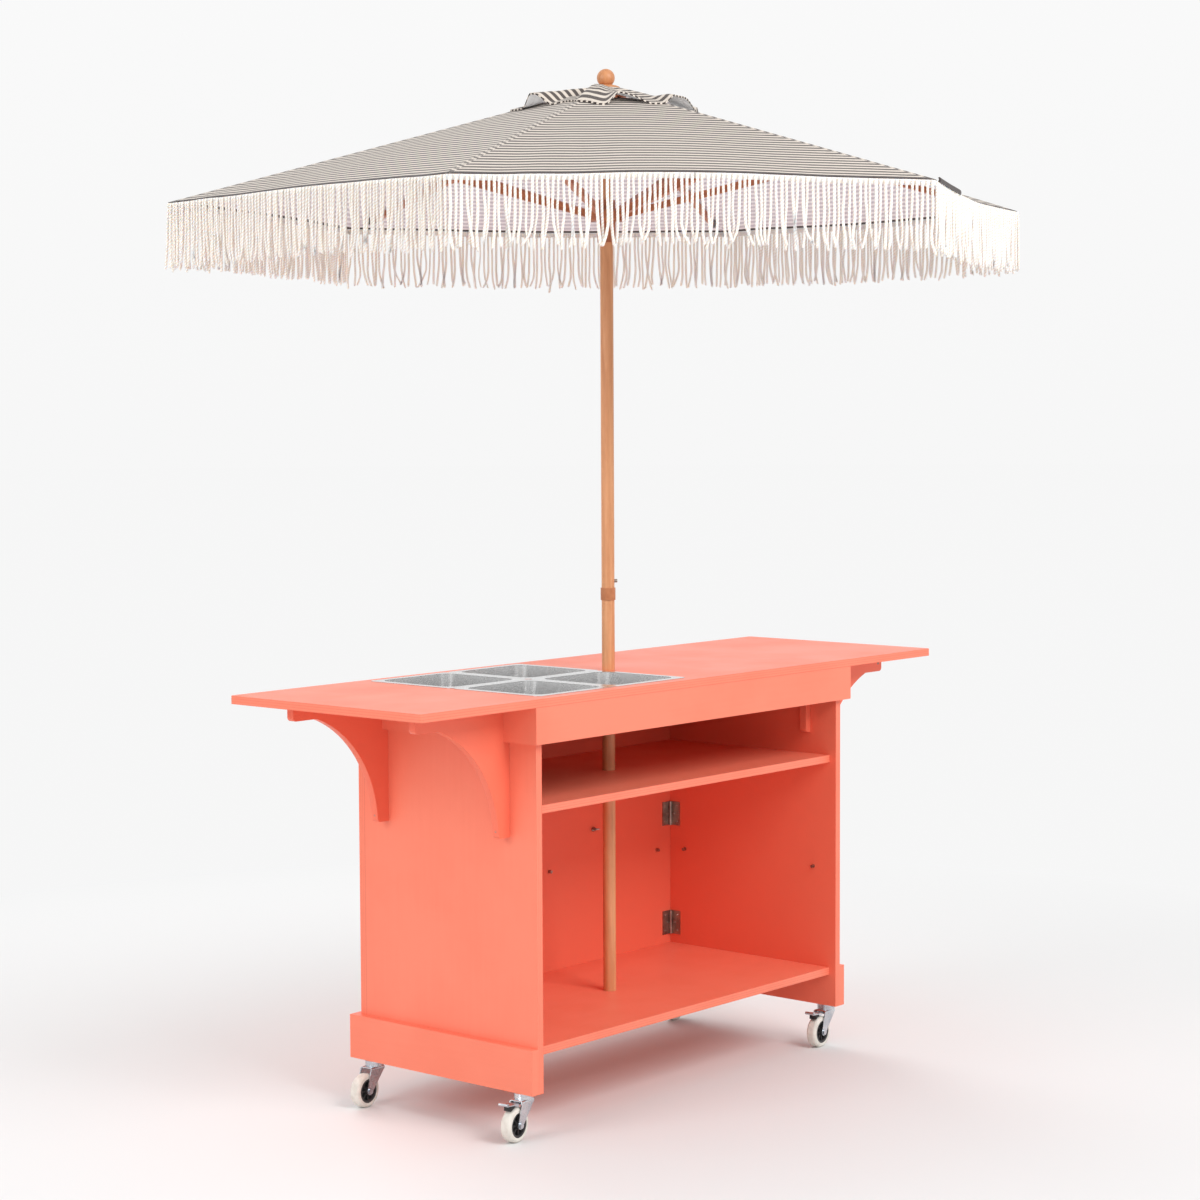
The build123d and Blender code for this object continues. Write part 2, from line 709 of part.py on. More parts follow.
def strut():
    """Strut forked round the rib at its upper end, with pin stubs for the runner at its lower end."""
    half = STRUT_HEIGHT / 2
    slot = RIB_WIDTH + 2 * JOINT_GAP
    wide = slot + 2 * FORK_CHEEK
    neck = FORK_SLOT + FORK_BRIDGE
    side = outline((0, half), (STRUT_LENGTH, STRUT_EYE), (STRUT_LENGTH, -STRUT_EYE), (0, -half))
    side += Circle(half)
    side += Pos(STRUT_LENGTH, 0) * Circle(STRUT_EYE)
    bar = plate(side, wide)
    right = outline(
        (-half, -wide / 2),
        (neck, -wide / 2),
        (neck + STRUT_TAPER, -STRUT_WIDTH / 2),
        (STRUT_LENGTH + STRUT_EYE, -STRUT_WIDTH / 2),
        (STRUT_LENGTH + STRUT_EYE, STRUT_WIDTH / 2),
        (neck + STRUT_TAPER, STRUT_WIDTH / 2),
        (neck, wide / 2),
        (-half, wide / 2),
    )
    bar &= extrude(right, STRUT_HEIGHT, both=True)
    bar -= block(-half, FORK_SLOT, -slot / 2, slot / 2, -half, half)
    bar += cross_rod(PIVOT_PIN_RADIUS, wide)
    bar += cross_rod(PIVOT_PIN_RADIUS, STRUT_WIDTH + 2 * PIN_STUB, STRUT_LENGTH)
    return rib_place * Pos(STRUT_LENGTH, 0, 0) * Rot(0, 180 - 2 * RIB_SLOPE, 0) * bar


def top_hub():
    """Turned hub on the pole top with six radial slots and a pivot pin across each."""
    low = pole_top - HUB_HEIGHT
    profile = outline(
        (0, low),
        (turned_hub - HUB_CHAMFER, low),
        (turned_hub, low + HUB_CHAMFER),
        (turned_hub, pole_top),
        (HUB_BOSS, pole_top),
        (HUB_BOSS, cap_under),
        (0, cap_under),
    )
    hub = turned(profile)
    hub -= rod(pole_radius, low, pole_top)
    hub -= rod(SPIGOT_RADIUS + RUN_FIT, pole_top, cap_under)
    core = PIVOT_RADIUS - RIB_EYE - EYE_GAP
    slot_top = rib_pivot_z + RIB_EYE + PIVOT_PIN_RADIUS
    slot = block(core, turned_hub + CUT_PAST, -hub_slot / 2, hub_slot / 2, low, slot_top)
    pin = cross_rod(PIVOT_PIN_RADIUS, hub_slot + 2 * PIN_SEAT, PIVOT_RADIUS, rib_pivot_z)
    for cut in spread(slot, rib_turns):
        hub -= cut
    for piece in spread(pin, rib_turns):
        hub += piece
    return hub


def runner():
    """Sleeve that slides on the pole, with a slotted crown; the strut pins enter its notches from below."""
    radius = pole_radius + SLIDE_FIT
    profile = outline(
        (radius, runner_pivot_z - RUNNER_BELOW),
        (pole_radius + RUNNER_WALL - RUNNER_CHAMFER, runner_pivot_z - RUNNER_BELOW),
        (pole_radius + RUNNER_WALL, runner_pivot_z - RUNNER_BELOW + RUNNER_CHAMFER),
        (pole_radius + RUNNER_WALL, runner_pivot_z - CROWN_BELOW),
        (runner_crown - HUB_CHAMFER, runner_pivot_z - CROWN_BELOW),
        (runner_crown, runner_pivot_z - CROWN_BELOW + HUB_CHAMFER),
        (runner_crown, runner_pivot_z + CROWN_ABOVE - HUB_CHAMFER),
        (runner_crown - HUB_CHAMFER, runner_pivot_z + CROWN_ABOVE),
        (pole_radius + RUNNER_WALL, runner_pivot_z + CROWN_ABOVE),
        (pole_radius + RUNNER_WALL - RUNNER_CHAMFER, runner_pivot_z + RUNNER_ABOVE),
        (radius, runner_pivot_z + RUNNER_ABOVE),
    )
    body = turned(profile)
    half_slot = STRUT_WIDTH / 2 + JOINT_GAP
    low = runner_pivot_z - CROWN_BELOW
    core = PIVOT_RADIUS - STRUT_EYE - EYE_GAP
    slot = block(core, runner_crown + CUT_PAST, -half_slot, half_slot, low, runner_pivot_z + CROWN_ABOVE)
    pin = PIVOT_PIN_RADIUS + JOINT_GAP
    reach = STRUT_WIDTH / 2 + PIN_STUB + JOINT_GAP
    notch = block(PIVOT_RADIUS - pin, PIVOT_RADIUS + pin, -reach, reach, low, runner_pivot_z + pin)
    for cut in spread(slot, rib_turns) + spread(notch, rib_turns):
        body -= cut
    return body


def finial():
    """Turned ball on a flared base, with a spigot through the vent cap and hub into the pole."""
    centre = finial_base + FINIAL_RISE
    ball = FINIAL_BALL / 2
    neck = (FINIAL_NECK, centre - sqrt(ball**2 - FINIAL_NECK**2))
    flange = (FINIAL_FLANGE, finial_base + FINIAL_FLANGE_EDGE)
    edge = Polyline((0, finial_base), (FINIAL_FLANGE, finial_base), flange)
    edge += SagittaArc(flange, neck, -FINIAL_COVE)
    edge += ThreePointArc(neck, (ball, centre), (0, centre + ball))
    edge += Line((0, centre + ball), (0, finial_base))
    return turned(make_face(edge)) + rod(SPIGOT_RADIUS, pole_top - SPIGOT_DEPTH, finial_base)


# Cloth


def polar(radius, turn, z):
    return Vector(radius * cos(radians(turn)), radius * sin(radians(turn)), z)


def strip(a, b, c, d):
    """Ruled face between the edges a-b and c-d."""
    return Face.make_surface_from_curves(Edge.make_line(a, b), Edge.make_line(c, d))


def cloth_shell(rings, thickness):
    """Closed cloth between rings of points, outer ring first, and the same rings lowered by its thickness."""
    lowered = [[point - Vector(0, 0, thickness) for point in ring] for ring in rings]
    count = len(rings[0])
    faces = []
    for i in range(count):
        j = (i + 1) % count
        for rows in (rings, lowered):
            faces += [strip(a[i], a[j], b[i], b[j]) for a, b in zip(rows, rows[1:])]
        faces += [strip(rings[row][i], rings[row][j], lowered[row][i], lowered[row][j]) for row in (0, -1)]
    return Solid(Shell(faces))


def hem_z():
    """Height of the canopy's upper face at the hem corners: the cloth lies just above the rib end caps."""
    slope = radians(RIB_SLOPE)
    reach = rib_length + CAP_WALL
    cap_x = PIVOT_RADIUS + reach * cos(slope) + half_tip_cap() * sin(slope)
    cap_z = rib_pivot_z - reach * sin(slope) + half_tip_cap() * cos(slope)
    shoulder = (RIB_WIDTH / 2 + CAP_WALL) * tan(canopy_slope) * tan(radians(half_side))
    return cap_z + shoulder + CLOTH_GAP + CLOTH - (CANOPY_RADIUS - cap_x) * tan(canopy_slope)


def canopy_z(radius):
    """Height of the canopy's upper face above a rib."""
    return hem_z() + (CANOPY_RADIUS - radius) * tan(canopy_slope)


def canopy_ring(radius, pull, rise):
    """Twelve points round the canopy: ribs at the radius, gore middles pulled in and raised."""
    z = canopy_z(radius)
    ring = []
    for turn in rib_turns:
        ring.append(polar(radius, turn, z))
        ring.append(polar(radius * cos(radians(half_side)) - pull, turn + half_side, z + rise))
    return ring


def canopy():
    share = VENT_RADIUS / CANOPY_RADIUS
    hem = canopy_ring(CANOPY_RADIUS, HEM_PULL, HEM_RISE)
    vent = canopy_ring(VENT_RADIUS, HEM_PULL * share, HEM_RISE * share)
    return cloth_shell([hem, vent], CLOTH)


def cap_ring(share):
    """Ring of the vent cap between its flat crown (share 0) and its ruffled hem (share 1)."""
    drop = cap_top - canopy_z(CAP_RADIUS) - CAP_LIFT
    ring = []
    for turn in rib_turns:
        for step in range(CAP_STEPS):
            part = step / CAP_STEPS
            angle = turn + part * 360.0 / SIDES
            flat = cos(radians(half_side)) / cos(radians(part * 360.0 / SIDES - half_side))
            radius = CAP_FLAT + share * (CAP_RADIUS * flat - CAP_FLAT)
            wave = CAP_BULGE * sin(radians(180 * part)) + CAP_RUFFLE * sin(radians(720 * part))
            ring.append(polar(radius, angle, cap_top - share * drop + share**2 * wave))
    return ring


def vent_cap():
    hole = [polar(SPIGOT_RADIUS + JOINT_GAP, turn_of(point), cap_top) for point in cap_ring(0)]
    return cloth_shell([cap_ring(1), cap_ring(0.55), cap_ring(0), hole], CAP_CLOTH)


def turn_of(point):
    return degrees(atan2(point.Y, point.X))


def quad(points):
    return Wire.make_polygon(points, close=True)


def fringe():
    """Header braid along the two half hems at the rib that points along +X, with hanging strands."""
    top = hem_z() - CLOTH - CLOTH_GAP
    corner = polar(CANOPY_RADIUS, 0, 0)
    middle = polar(CANOPY_RADIUS * cos(radians(half_side)) - HEM_PULL, half_side, 0)
    length = (middle - corner).length
    along = (middle - corner).normalized()
    inward = Vector(-along.Y, along.X, 0)
    up = Vector(0, 0, 1)
    mitre = inward * HEADER_THICKNESS - along * (HEADER_THICKNESS * inward.Y / along.Y)
    end = along * (length - JOINT_GAP)

    def section(base, across, z):
        low, high = base + up * (z - HEADER_HEIGHT), base + up * z
        return quad([low, low + across, high + across, high])

    sections = [
        section(corner, mitre, top),
        section(corner + end, inward * HEADER_THICKNESS, top + HEM_RISE),
    ]
    solids = [Solid.make_loft(sections, ruled=True)]
    pitch = length / STRANDS_PER_HALF
    for k in range(STRANDS_PER_HALF):
        place = (k + 0.5) * pitch
        root_z = top - HEADER_HEIGHT + HEM_RISE * place / length
        root = corner + along * place + inward * (HEADER_THICKNESS / 2) + up * (root_z + STRAND_ROOT)
        sway, swing, trim = (sin(phase * k) for phase in STRAND_PHASES)
        lean = (along * sway + inward * swing) * STRAND_LEAN
        foot = root + lean - up * (STRAND_LENGTH + STRAND_ROOT + STRAND_VARIATION * trim)
        ends = []
        for centre, size in ((root, 1.0), (foot, STRAND_TAPER)):
            a = along * (STRAND_WIDTH * size / 2)
            b = inward * (STRAND_DEPTH * size / 2)
            ends.append(quad([centre - a - b, centre + a - b, centre + a + b, centre - a + b]))
        solids.append(Solid.make_loft(ends, ruled=True))
    solids += [solid.mirror(Plane.XZ) for solid in solids]
    return solids[0].fuse(*solids[1:])


def collect():
    """Every node with its list of shapes."""
    right_panel = side_panel()
    brackets = both_sides(wing_bracket())
    nodes = {
        "back_panel": [back_panel()],
        "right_side_panel": [right_panel],
        "left_side_panel": [mirror(right_panel, Plane.YZ)],
        "bottom_deck": [deck(deck_z)],
        "middle_shelf": [deck(shelf_z) - rod(pole_radius + POLE_HOLE_GAP, shelf_z, shelf_z + PLY)],
        "worktop": [worktop()],
        "front_apron": [apron(-outer_depth)],
        "back_apron": [apron(half_depth)],
        "side_aprons": both_sides(side_apron()),
        "plinths": plinths(),
        "wing_brackets": [Pos(0, y, 0) * side for y in (-BRACKET_Y, BRACKET_Y) for side in brackets],
        "butt_hinges": butt_hinges(),
        "shelf_pegs": shelf_pegs(),
        "wing_screws": wing_screws(),
        "caster_stems": [caster_place(name) * caster_stem() for name in CASTER_TURNS],
        "lower_pole": [lower_pole()],
        "pole_ferrule": [pole_ferrule()],
        "upper_pole": [upper_pole()],
        "lock_button": [lock_button()],
        "finial": [finial()],
        "top_hub": [top_hub()],
        "runner": [runner()],
        "canopy": [canopy()],
        "vent_cap": [vent_cap()],
    }
    one_pan = pan()
    for name, (x, y) in pan_centres().items():
        nodes[name] = [Pos(x, y, top_face + SEAT_GAP) * one_pan]
    hub, one_tyre, pedal = wheel_hub(), tyre(), brake_pedal()
    for name in CASTER_TURNS:
        place = caster_place(name)
        braked = name.startswith("front")
        nodes[f"{name}_fork"] = [place * solid for solid in caster_fork(braked)]
        nodes[f"{name}_hub"] = [place * hub]
        nodes[f"{name}_tyre"] = [place * one_tyre]
        if braked:
            nodes[f"{name}_brake_pedal"] = [place * pedal]
    one_rib, one_strut, one_fringe = rib(), strut(), fringe()
    for number, turn in enumerate(rib_turns, 1):
        nodes[f"rib_{number}"] = [Rot(0, 0, turn) * solid for solid in one_rib]
        nodes[f"strut_{number}"] = [Rot(0, 0, turn) * one_strut]
        nodes[f"fringe_{number}"] = [Rot(0, 0, turn) * one_fringe]
    return nodes


def main():
    os.makedirs("parts", exist_ok=True)
    for name, shapes in collect().items():
        solids = [solid for shape in shapes for solid in shape.solids()]
        export_step(Compound(solids) if len(solids) > 1 else solids[0], f"parts/{name}.step")


main()
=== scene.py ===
# %% [markdown]
# # A plywood bar cart with a fringed parasol
# The cart is a coral painted plywood cabinet on four casters. Two wings on curved brackets lengthen the
# worktop, four steel pans hang in it, and a wooden pole carries a striped parasol with a cotton fringe.
# Boards, sticks and wheels are exact shapes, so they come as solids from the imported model. This lesson gives
# them their finishes, and makes the cloth and the fringe, which are soft, by hand.

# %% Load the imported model
import math
import random

import bmesh
import bpy
from mathutils import Matrix, Vector, noise


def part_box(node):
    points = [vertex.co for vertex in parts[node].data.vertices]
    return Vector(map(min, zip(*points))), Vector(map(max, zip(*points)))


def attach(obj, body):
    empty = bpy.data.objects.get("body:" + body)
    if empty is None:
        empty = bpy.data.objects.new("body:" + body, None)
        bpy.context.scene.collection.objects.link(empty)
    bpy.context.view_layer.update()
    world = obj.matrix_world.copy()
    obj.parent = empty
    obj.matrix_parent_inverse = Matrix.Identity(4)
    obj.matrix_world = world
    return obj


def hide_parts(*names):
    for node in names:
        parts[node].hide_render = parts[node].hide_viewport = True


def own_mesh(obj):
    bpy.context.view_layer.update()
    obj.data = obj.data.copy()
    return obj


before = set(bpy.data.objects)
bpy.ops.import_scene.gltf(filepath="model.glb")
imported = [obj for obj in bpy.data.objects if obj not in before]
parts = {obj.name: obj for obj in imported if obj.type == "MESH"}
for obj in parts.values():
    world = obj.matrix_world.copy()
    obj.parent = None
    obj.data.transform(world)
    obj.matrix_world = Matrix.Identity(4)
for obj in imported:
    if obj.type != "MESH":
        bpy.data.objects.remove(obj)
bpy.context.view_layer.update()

# %% [markdown]
# ## The camera
# The camera stands in front of the left wing at eye height, and looks slightly down. It could be set by eye,
# but the straight edges of the cabinet tell its place and lens exactly. So it is set by numbers: a turn about
# the upright axis, then a tilt, then a small roll.

# %% Camera
CAMERA_PLACE = (-4.7428, -4.0257, 1.5681)
CAMERA_TURN, CAMERA_TILT, CAMERA_ROLL = -49.5027, -4.2147, 0.2644
LENS, SENSOR, FAR_CLIP = 80.889, 36.0, 200.0

camera = bpy.data.objects.new("camera", bpy.data.cameras.new("camera"))
camera.data.lens = LENS
camera.data.sensor_width = SENSOR
camera.data.clip_end = FAR_CLIP
camera.matrix_world = (
    Matrix.Translation(CAMERA_PLACE)
    @ Matrix.Rotation(math.radians(CAMERA_TURN), 4, "Z")
    @ Matrix.Rotation(math.radians(CAMERA_TILT), 4, "X")
    @ Matrix.Rotation(math.radians(CAMERA_ROLL), 4, "Y")
    @ Matrix.Rotation(math.radians(90), 4, "X")
)
scene = bpy.context.scene
scene.collection.objects.link(camera)
scene.camera = camera
scene.view_settings.view_transform = "Standard"
print("camera at", CAMERA_PLACE, "lens", LENS)

# %% [markdown]
# ## Small tools for nodes
# Every finish below is a tree of shader nodes. Nodes could be made and linked one by one, but a finish has
# dozens of them. So short helpers add a node and fill or link its inputs. A socket knows the tree that it
# belongs to, so most helpers need only sockets and numbers, and a finish reads like arithmetic.

# %% Add a node
def feed(socket, value):
    """Links an input to the socket that feeds it, or fills it with a plain value."""
    if isinstance(value, bpy.types.NodeSocket):
        socket.id_data.links.new(value, socket)
    else:
        socket.default_value = value


def add(tree, kind, inputs=None, **settings):
    """Adds a shader node. Its settings come first, because they decide which inputs it has."""
    node = tree.nodes.new("ShaderNode" + kind)
    for name, value in settings.items():
        setattr(node, name, value)
    for name, value in (inputs or {}).items():
        feed(node.inputs[name], value)
    return node


def join(kind, inputs, **settings):
    """Adds a node to the tree of the sockets that feed it."""
    tree = next(value.id_data for value in inputs.values() if isinstance(value, bpy.types.NodeSocket))
    return add(tree, kind, inputs, **settings)


# %% Arithmetic
def maths(operation, first, second=0.0, clamp=False):
    """One step of arithmetic."""
    return join("Math", {0: first, 1: second}, operation=operation, use_clamp=clamp).outputs[0]


def plus(first, second, clamp=False):
    return maths("ADD", first, second, clamp)


def times(first, second):
    return maths("MULTIPLY", first, second)


def wave(value, pace):
    """A wave along a value; its pace is in radians."""
    return maths("SINE", times(value, pace))


def flip(share):
    """What a share leaves of one."""
    return maths("SUBTRACT", 1.0, share)


def below(value, limit):
    """1 below a limit, else 0."""
    return maths("LESS_THAN", value, limit)


def above(value, limit):
    """1 above a limit, else 0."""
    return maths("GREATER_THAN", value, limit)


def near(value, target, reach):
    """1 within reach of a target, else 0."""
    return join("Math", {0: value, 1: target, 2: reach}, operation="COMPARE").outputs[0]


def spread(value, span, onto=(0.0, 1.0)):
    """Maps a value from its span onto another one, held at the ends."""
    inputs = {"Value": value, "From Min": span[0], "From Max": span[1], "To Min": onto[0], "To Max": onto[1]}
    return join("MapRange", inputs).outputs["Result"]


# %% Places and random spots
NOISE_SPAN = (0.3, 0.7)


def object_place(tree):
    """The place on the piece in metres, in the shared frame."""
    return add(tree, "TexCoord").outputs["Object"]


def split(vector):
    """The X, Y and Z of a vector."""
    return join("SeparateXYZ", {"Vector": vector}).outputs


def stretch(vector, factors):
    """A vector with each of its values times its own factor."""
    return join("VectorMath", {0: vector, 1: factors}, operation="MULTIPLY").outputs["Vector"]


def length(vector):
    return join("VectorMath", {0: vector}, operation="LENGTH").outputs["Value"]


def speckle(place, scale, detail=2.0, **more):
    """Soft random spots, mostly within the noise span; a larger scale makes them smaller."""
    return join("TexNoise", {"Vector": place, "Scale": scale, "Detail": detail, **more}).outputs["Fac"]


# %% Colours
def mix(share, first, second, blend="MIX"):
    """Mixes two colours by a share."""
    inputs = {0: share, 6: first, 7: second}
    return join("Mix", inputs, data_type="RGBA", blend_type=blend).outputs[2]


def grey(level):
    return (level, level, level, 1.0)


def paint(*levels):
    """A colour as a screen shows it, 0 to 255, as the linear colour that shaders use."""
    shares = [level / 255 for level in levels]
    linear = [v / 12.92 if v <= 0.04045 else ((v + 0.055) / 1.055) ** 2.4 for v in shares]
    return (*linear, 1.0)


print("middle grey of a screen in linear light", round(paint(128, 128, 128)[0], 3))

# %% Start a finish and wire it
def new_finish(name, **fixed):
    """Starts a material. Fixed values go on the shader's own sockets, with _ for a space in a name."""
    material = bpy.data.materials.new(name)
    material.use_nodes = True
    tree = material.node_tree
    shader = next(node for node in tree.nodes if node.type == "BSDF_PRINCIPLED")
    for label, value in fixed.items():
        shader.inputs[label.replace("_", " ")].default_value = value
    return material, tree, shader


def wire(shader, colour, roughness, height, depth, strength):
    """Feeds colour and roughness to the shader, and height through a bump of a depth in metres."""
    bump = join("Bump", {"Height": height, "Distance": depth, "Strength": strength})
    feed(shader.inputs["Base Color"], colour)
    feed(shader.inputs["Roughness"], roughness)
    feed(shader.inputs["Normal"], bump.outputs["Normal"])


# %% [markdown]
# ## The studio
# The cart stands in a white studio. Even light falls from all round, and large lamps stand high in front, on
# the left and behind, so the open cabinet stays darker inside. The floor is a wide pale sheet that takes the
# cart's shadow. A curved backdrop could hide the horizon. Here the floor turns into the white of the background
# away from the cart, because that needs no second mesh. What the camera and the shiny pieces see of the world
# is a little whiter than the light that it gives.

# %% Floor sheet
FLOOR_REACH, FLOOR_SIDES = 60.0, 96


def close_mesh(bm, name):
    """Turns a bmesh into a mesh."""
    mesh = bpy.data.meshes.new(name)
    bm.to_mesh(mesh)
    bm.free()
    return mesh


def place_object(name, data):
    """Puts a new object into the scene."""
    thing = bpy.data.objects.new(name, data)
    scene.collection.objects.link(thing)
    return thing


bm = bmesh.new()
bmesh.ops.create_circle(bm, cap_ends=True, segments=FLOOR_SIDES, radius=FLOOR_REACH)
floor = place_object("floor", close_mesh(bm, "floor"))
print("floor reach", FLOOR_REACH)

# %% Floor finish
FLOOR_TONE = 0.765
FADE = (1.0, 3.0)
HORIZON, ZENITH = 0.925, 0.970


def seen_rays(tree):
    """1 for camera, mirrored and refracted rays; 0 for rays that only carry light."""
    rays = add(tree, "LightPath").outputs
    seen = maths("MAXIMUM", rays["Is Camera Ray"], rays["Is Glossy Ray"])
    return maths("MAXIMUM", seen, rays["Is Transmission Ray"])


floor_paint, tree, shader = new_finish(
    "floor_paint", Base_Color=grey(FLOOR_TONE), Roughness=0.75, Specular_IOR_Level=0.2,
)
far = spread(length(object_place(tree)), FADE)
white = add(tree, "Emission", {"Color": grey(HORIZON), "Strength": 1.0}).outputs[0]
blend = join("MixShader", {0: times(far, seen_rays(tree)), 1: shader.outputs[0], 2: white})
output = next(node for node in tree.nodes if node.type == "OUTPUT_MATERIAL")
feed(output.inputs["Surface"], blend.outputs[0])
floor.data.materials.append(floor_paint)
print("floor tone", FLOOR_TONE, "fading between", FADE)

# %% World
AMBIENT = 0.71
SKY = (-0.05, 0.3)

world = bpy.data.worlds.new("studio")
world.use_nodes = True
scene.world = world
tree = world.node_tree
rise = split(add(tree, "TexCoord").outputs["Generated"])["Z"]
shown = spread(rise, SKY, (HORIZON, ZENITH))
seen = seen_rays(tree)
backdrop = next(node for node in tree.nodes if node.type == "BACKGROUND")
feed(backdrop.inputs["Color"], grey(1.0))
feed(backdrop.inputs["Strength"], plus(times(shown, seen), times(AMBIENT, flip(seen))))
print("light from all round", AMBIENT)

# %% Lamps
def soft_lamp(name, place, target, size, power, mirrored=True):
    """Square soft lamp turned towards a point; one that isn't mirrored leaves no gloss on the worktop."""
    lamp = bpy.data.lights.new(name, "AREA")
    lamp.size = size
    lamp.energy = power
    thing = place_object(name, lamp)
    thing.location = place
    thing.rotation_euler = (Vector(target) - Vector(place)).to_track_quat("-Z", "Y").to_euler()
    thing.visible_glossy = mirrored


soft_lamp("front_lamp", (-0.5, -4.8, 4.4), (0.0, 0.0, 0.8), size=2.8, power=196.0)
soft_lamp("left_lamp", (-5.0, 0.6, 3.0), (0.0, 0.0, 1.2), size=2.4, power=84.0)
soft_lamp("back_lamp", (1.8, 4.6, 3.0), (0.0, 0.0, 1.2), size=3.0, power=118.0, mirrored=False)
print("lamps", len(bpy.data.lights))

# %% [markdown]
# ## Shared effects
# Some effects turn up on more than one finish: the thin veneer lines on a cut plywood edge, the skin of a
# rolled paint, the grain of wood, the weave of cloth, and the fine scratches of metal. They could be repeated
# in every material, but a change would then have to be made many times. Each is a node group with named
# inputs, built once. The groups put out only colours, values and heights.

# %% Node groups
ORIGIN, EVEN = (0.0, 0.0, 0.0), (1.0, 1.0, 1.0)
KINDS = {1: "NodeSocketFloat", 3: "NodeSocketVector", 4: "NodeSocketColor"}


def new_group(name, outputs, **inputs):
    """Starts a node group. Returns it with its input sockets and a function that closes it."""
    tree = bpy.data.node_groups.new(name, "ShaderNodeTree")
    for label, value in inputs.items():
        kind = KINDS[len(value) if isinstance(value, tuple) else 1]
        tree.interface.new_socket(label, in_out="INPUT", socket_type=kind).default_value = value
    for label in outputs:
        kind = KINDS[4 if label == "Color" else 1]
        tree.interface.new_socket(label, in_out="OUTPUT", socket_type=kind)
    start = tree.nodes.new("NodeGroupInput")
    end = tree.nodes.new("NodeGroupOutput")

    def close(**values):
        for label, value in values.items():
            tree.links.new(value, end.inputs[label])

    return tree, start.outputs, close


def use(group, inputs):
    """Places a node group in a material and returns its outputs."""
    return join("Group", inputs, node_tree=group).outputs


# %% Plywood edge lines
VENEER, WANDER = 0.0027, 0.35

veneer_lines, given, close = new_group("veneer_lines", ("Shade", "Height"), Depth=0.0, Place=ORIGIN, Edge=1.0)
wander = times(speckle(given["Place"], scale=60.0), WANDER)
layer = plus(maths("DIVIDE", given["Depth"], VENEER), wander)
line = spread(wave(layer, math.pi), (0.35, 1.0))
pores = speckle(given["Place"], scale=420.0, detail=3.0)
line = times(line, spread(pores, (0.3, 0.6), (0.35, 1.0)))
line = times(line, given["Edge"])
close(Shade=line, Height=times(line, -1.0))
print("veneer", VENEER)

# %% Rolled paint skin
paint_skin, given, close = new_group("paint_skin", ("Tone", "Roughness", "Height"), Place=ORIGIN, Grain=EVEN)
stretched = stretch(given["Place"], given["Grain"])
grain = speckle(stretched, scale=110.0, detail=4.0, Roughness=0.6)
cloud = speckle(given["Place"], scale=5.0, detail=3.0)
stipple = speckle(given["Place"], scale=900.0, detail=1.0)
close(
    Tone=plus(times(grain, 0.25), times(cloud, 0.75)),
    Roughness=spread(cloud, NOISE_SPAN, (0.36, 0.46)),
    Height=plus(times(grain, 0.3), times(stipple, 0.3)),
)
print("paint skin nodes", len(paint_skin.nodes))

# %% Wood grain along the first axis
STICK_GRAIN = (0.055, 1.0, 1.0)

wood_grain, given, close = new_group(
    "wood_grain", ("Color", "Roughness", "Height"), Place=ORIGIN, Light=grey(0.5), Dark=grey(0.2),
)
stretched = stretch(given["Place"], STICK_GRAIN)
bands = speckle(stretched, scale=95.0, detail=3.0, Distortion=0.6)
fibres = speckle(stretched, scale=620.0, detail=3.0)
flecks = spread(speckle(stretched, scale=1500.0), (0.60, 0.72))
share = plus(times(bands, 0.75), times(fibres, 0.25))
share = plus(spread(share, (0.32, 0.68)), times(flecks, 0.25), clamp=True)
close(
    Color=mix(share, given["Light"], given["Dark"]),
    Roughness=spread(fibres, NOISE_SPAN, (0.40, 0.56)),
    Height=times(fibres, -1.0),
)
print("wood grain nodes", len(wood_grain.nodes))

# %% Plain weave
THREAD_COUNT = 1250.0

plain_weave, given, close = new_group("plain_weave", ("Shade", "Height"), Thread=ORIGIN, Count=THREAD_COUNT)
threads = split(given["Thread"])
warp, weft = (wave(times(threads[axis], given["Count"]), math.pi) for axis in "XY")
over = times(warp, weft)
slub = speckle(given["Thread"], scale=240.0, detail=3.0)
close(Shade=plus(times(over, 0.25), slub), Height=plus(times(over, 0.5), times(slub, 0.5)))
print("weave nodes", len(plain_weave.nodes))

# %% Metal scratches
metal_scratches, given, close = new_group(
    "metal_scratches", ("Tone", "Roughness", "Height"), Place=ORIGIN, Brush=EVEN, Base=0.3,
)
lines = speckle(stretch(given["Place"], given["Brush"]), scale=700.0, detail=3.0)
bloom = speckle(given["Place"], scale=38.0, detail=4.0)
rough = plus(given["Base"], spread(lines, NOISE_SPAN, (-0.06, 0.06)))
rough = plus(rough, spread(bloom, NOISE_SPAN, (-0.03, 0.04)))
close(Tone=bloom, Roughness=rough, Height=lines)
print("groups", [group.name for group in bpy.data.node_groups])

# %% [markdown]
# ## Coral plywood
# The boards are birch plywood under a coral satin paint. On the flat faces the paint shows a faint roller
# skin and a little of the grain. On the cut edges the veneers telegraph through as thin darker lines. Every
# edge could get a material of its own, but the imported boards have one each. So a finish is told along which
# axis its board is thin, and finds the edges by the way that a face looks. A fine seam near the back of each
# side shows where the back board's edge meets it. The upright faces inside the cabinet and the brackets are
# painted a little redder, as a painted shade for the shade and the bounced coral light that they get.

# %% Painted plywood
# The last coral on the next line is painted shade, for the faces inside the cabinet and the brackets.
CORAL, CORAL_DEEP, CORAL_PAINTED_SHADE = paint(247, 135, 108), paint(244, 130, 103), paint(244, 118, 91)
CORAL_LINE, CORAL_SEAM = paint(220, 100, 76), paint(176, 62, 44)
LINE_SHARE, PAINTED_SHADE_SHARE, SEAM_SHARE = 0.55, 0.8, 0.7
HALF_LENGTH, HALF_DEPTH, INSIDE_LENGTH = 0.550, 0.266, 0.5335
SEAM_DEPTH, SEAM_WIDTH = 0.2482, 0.0006
EDGE_SPAN = (0.3, 0.7)


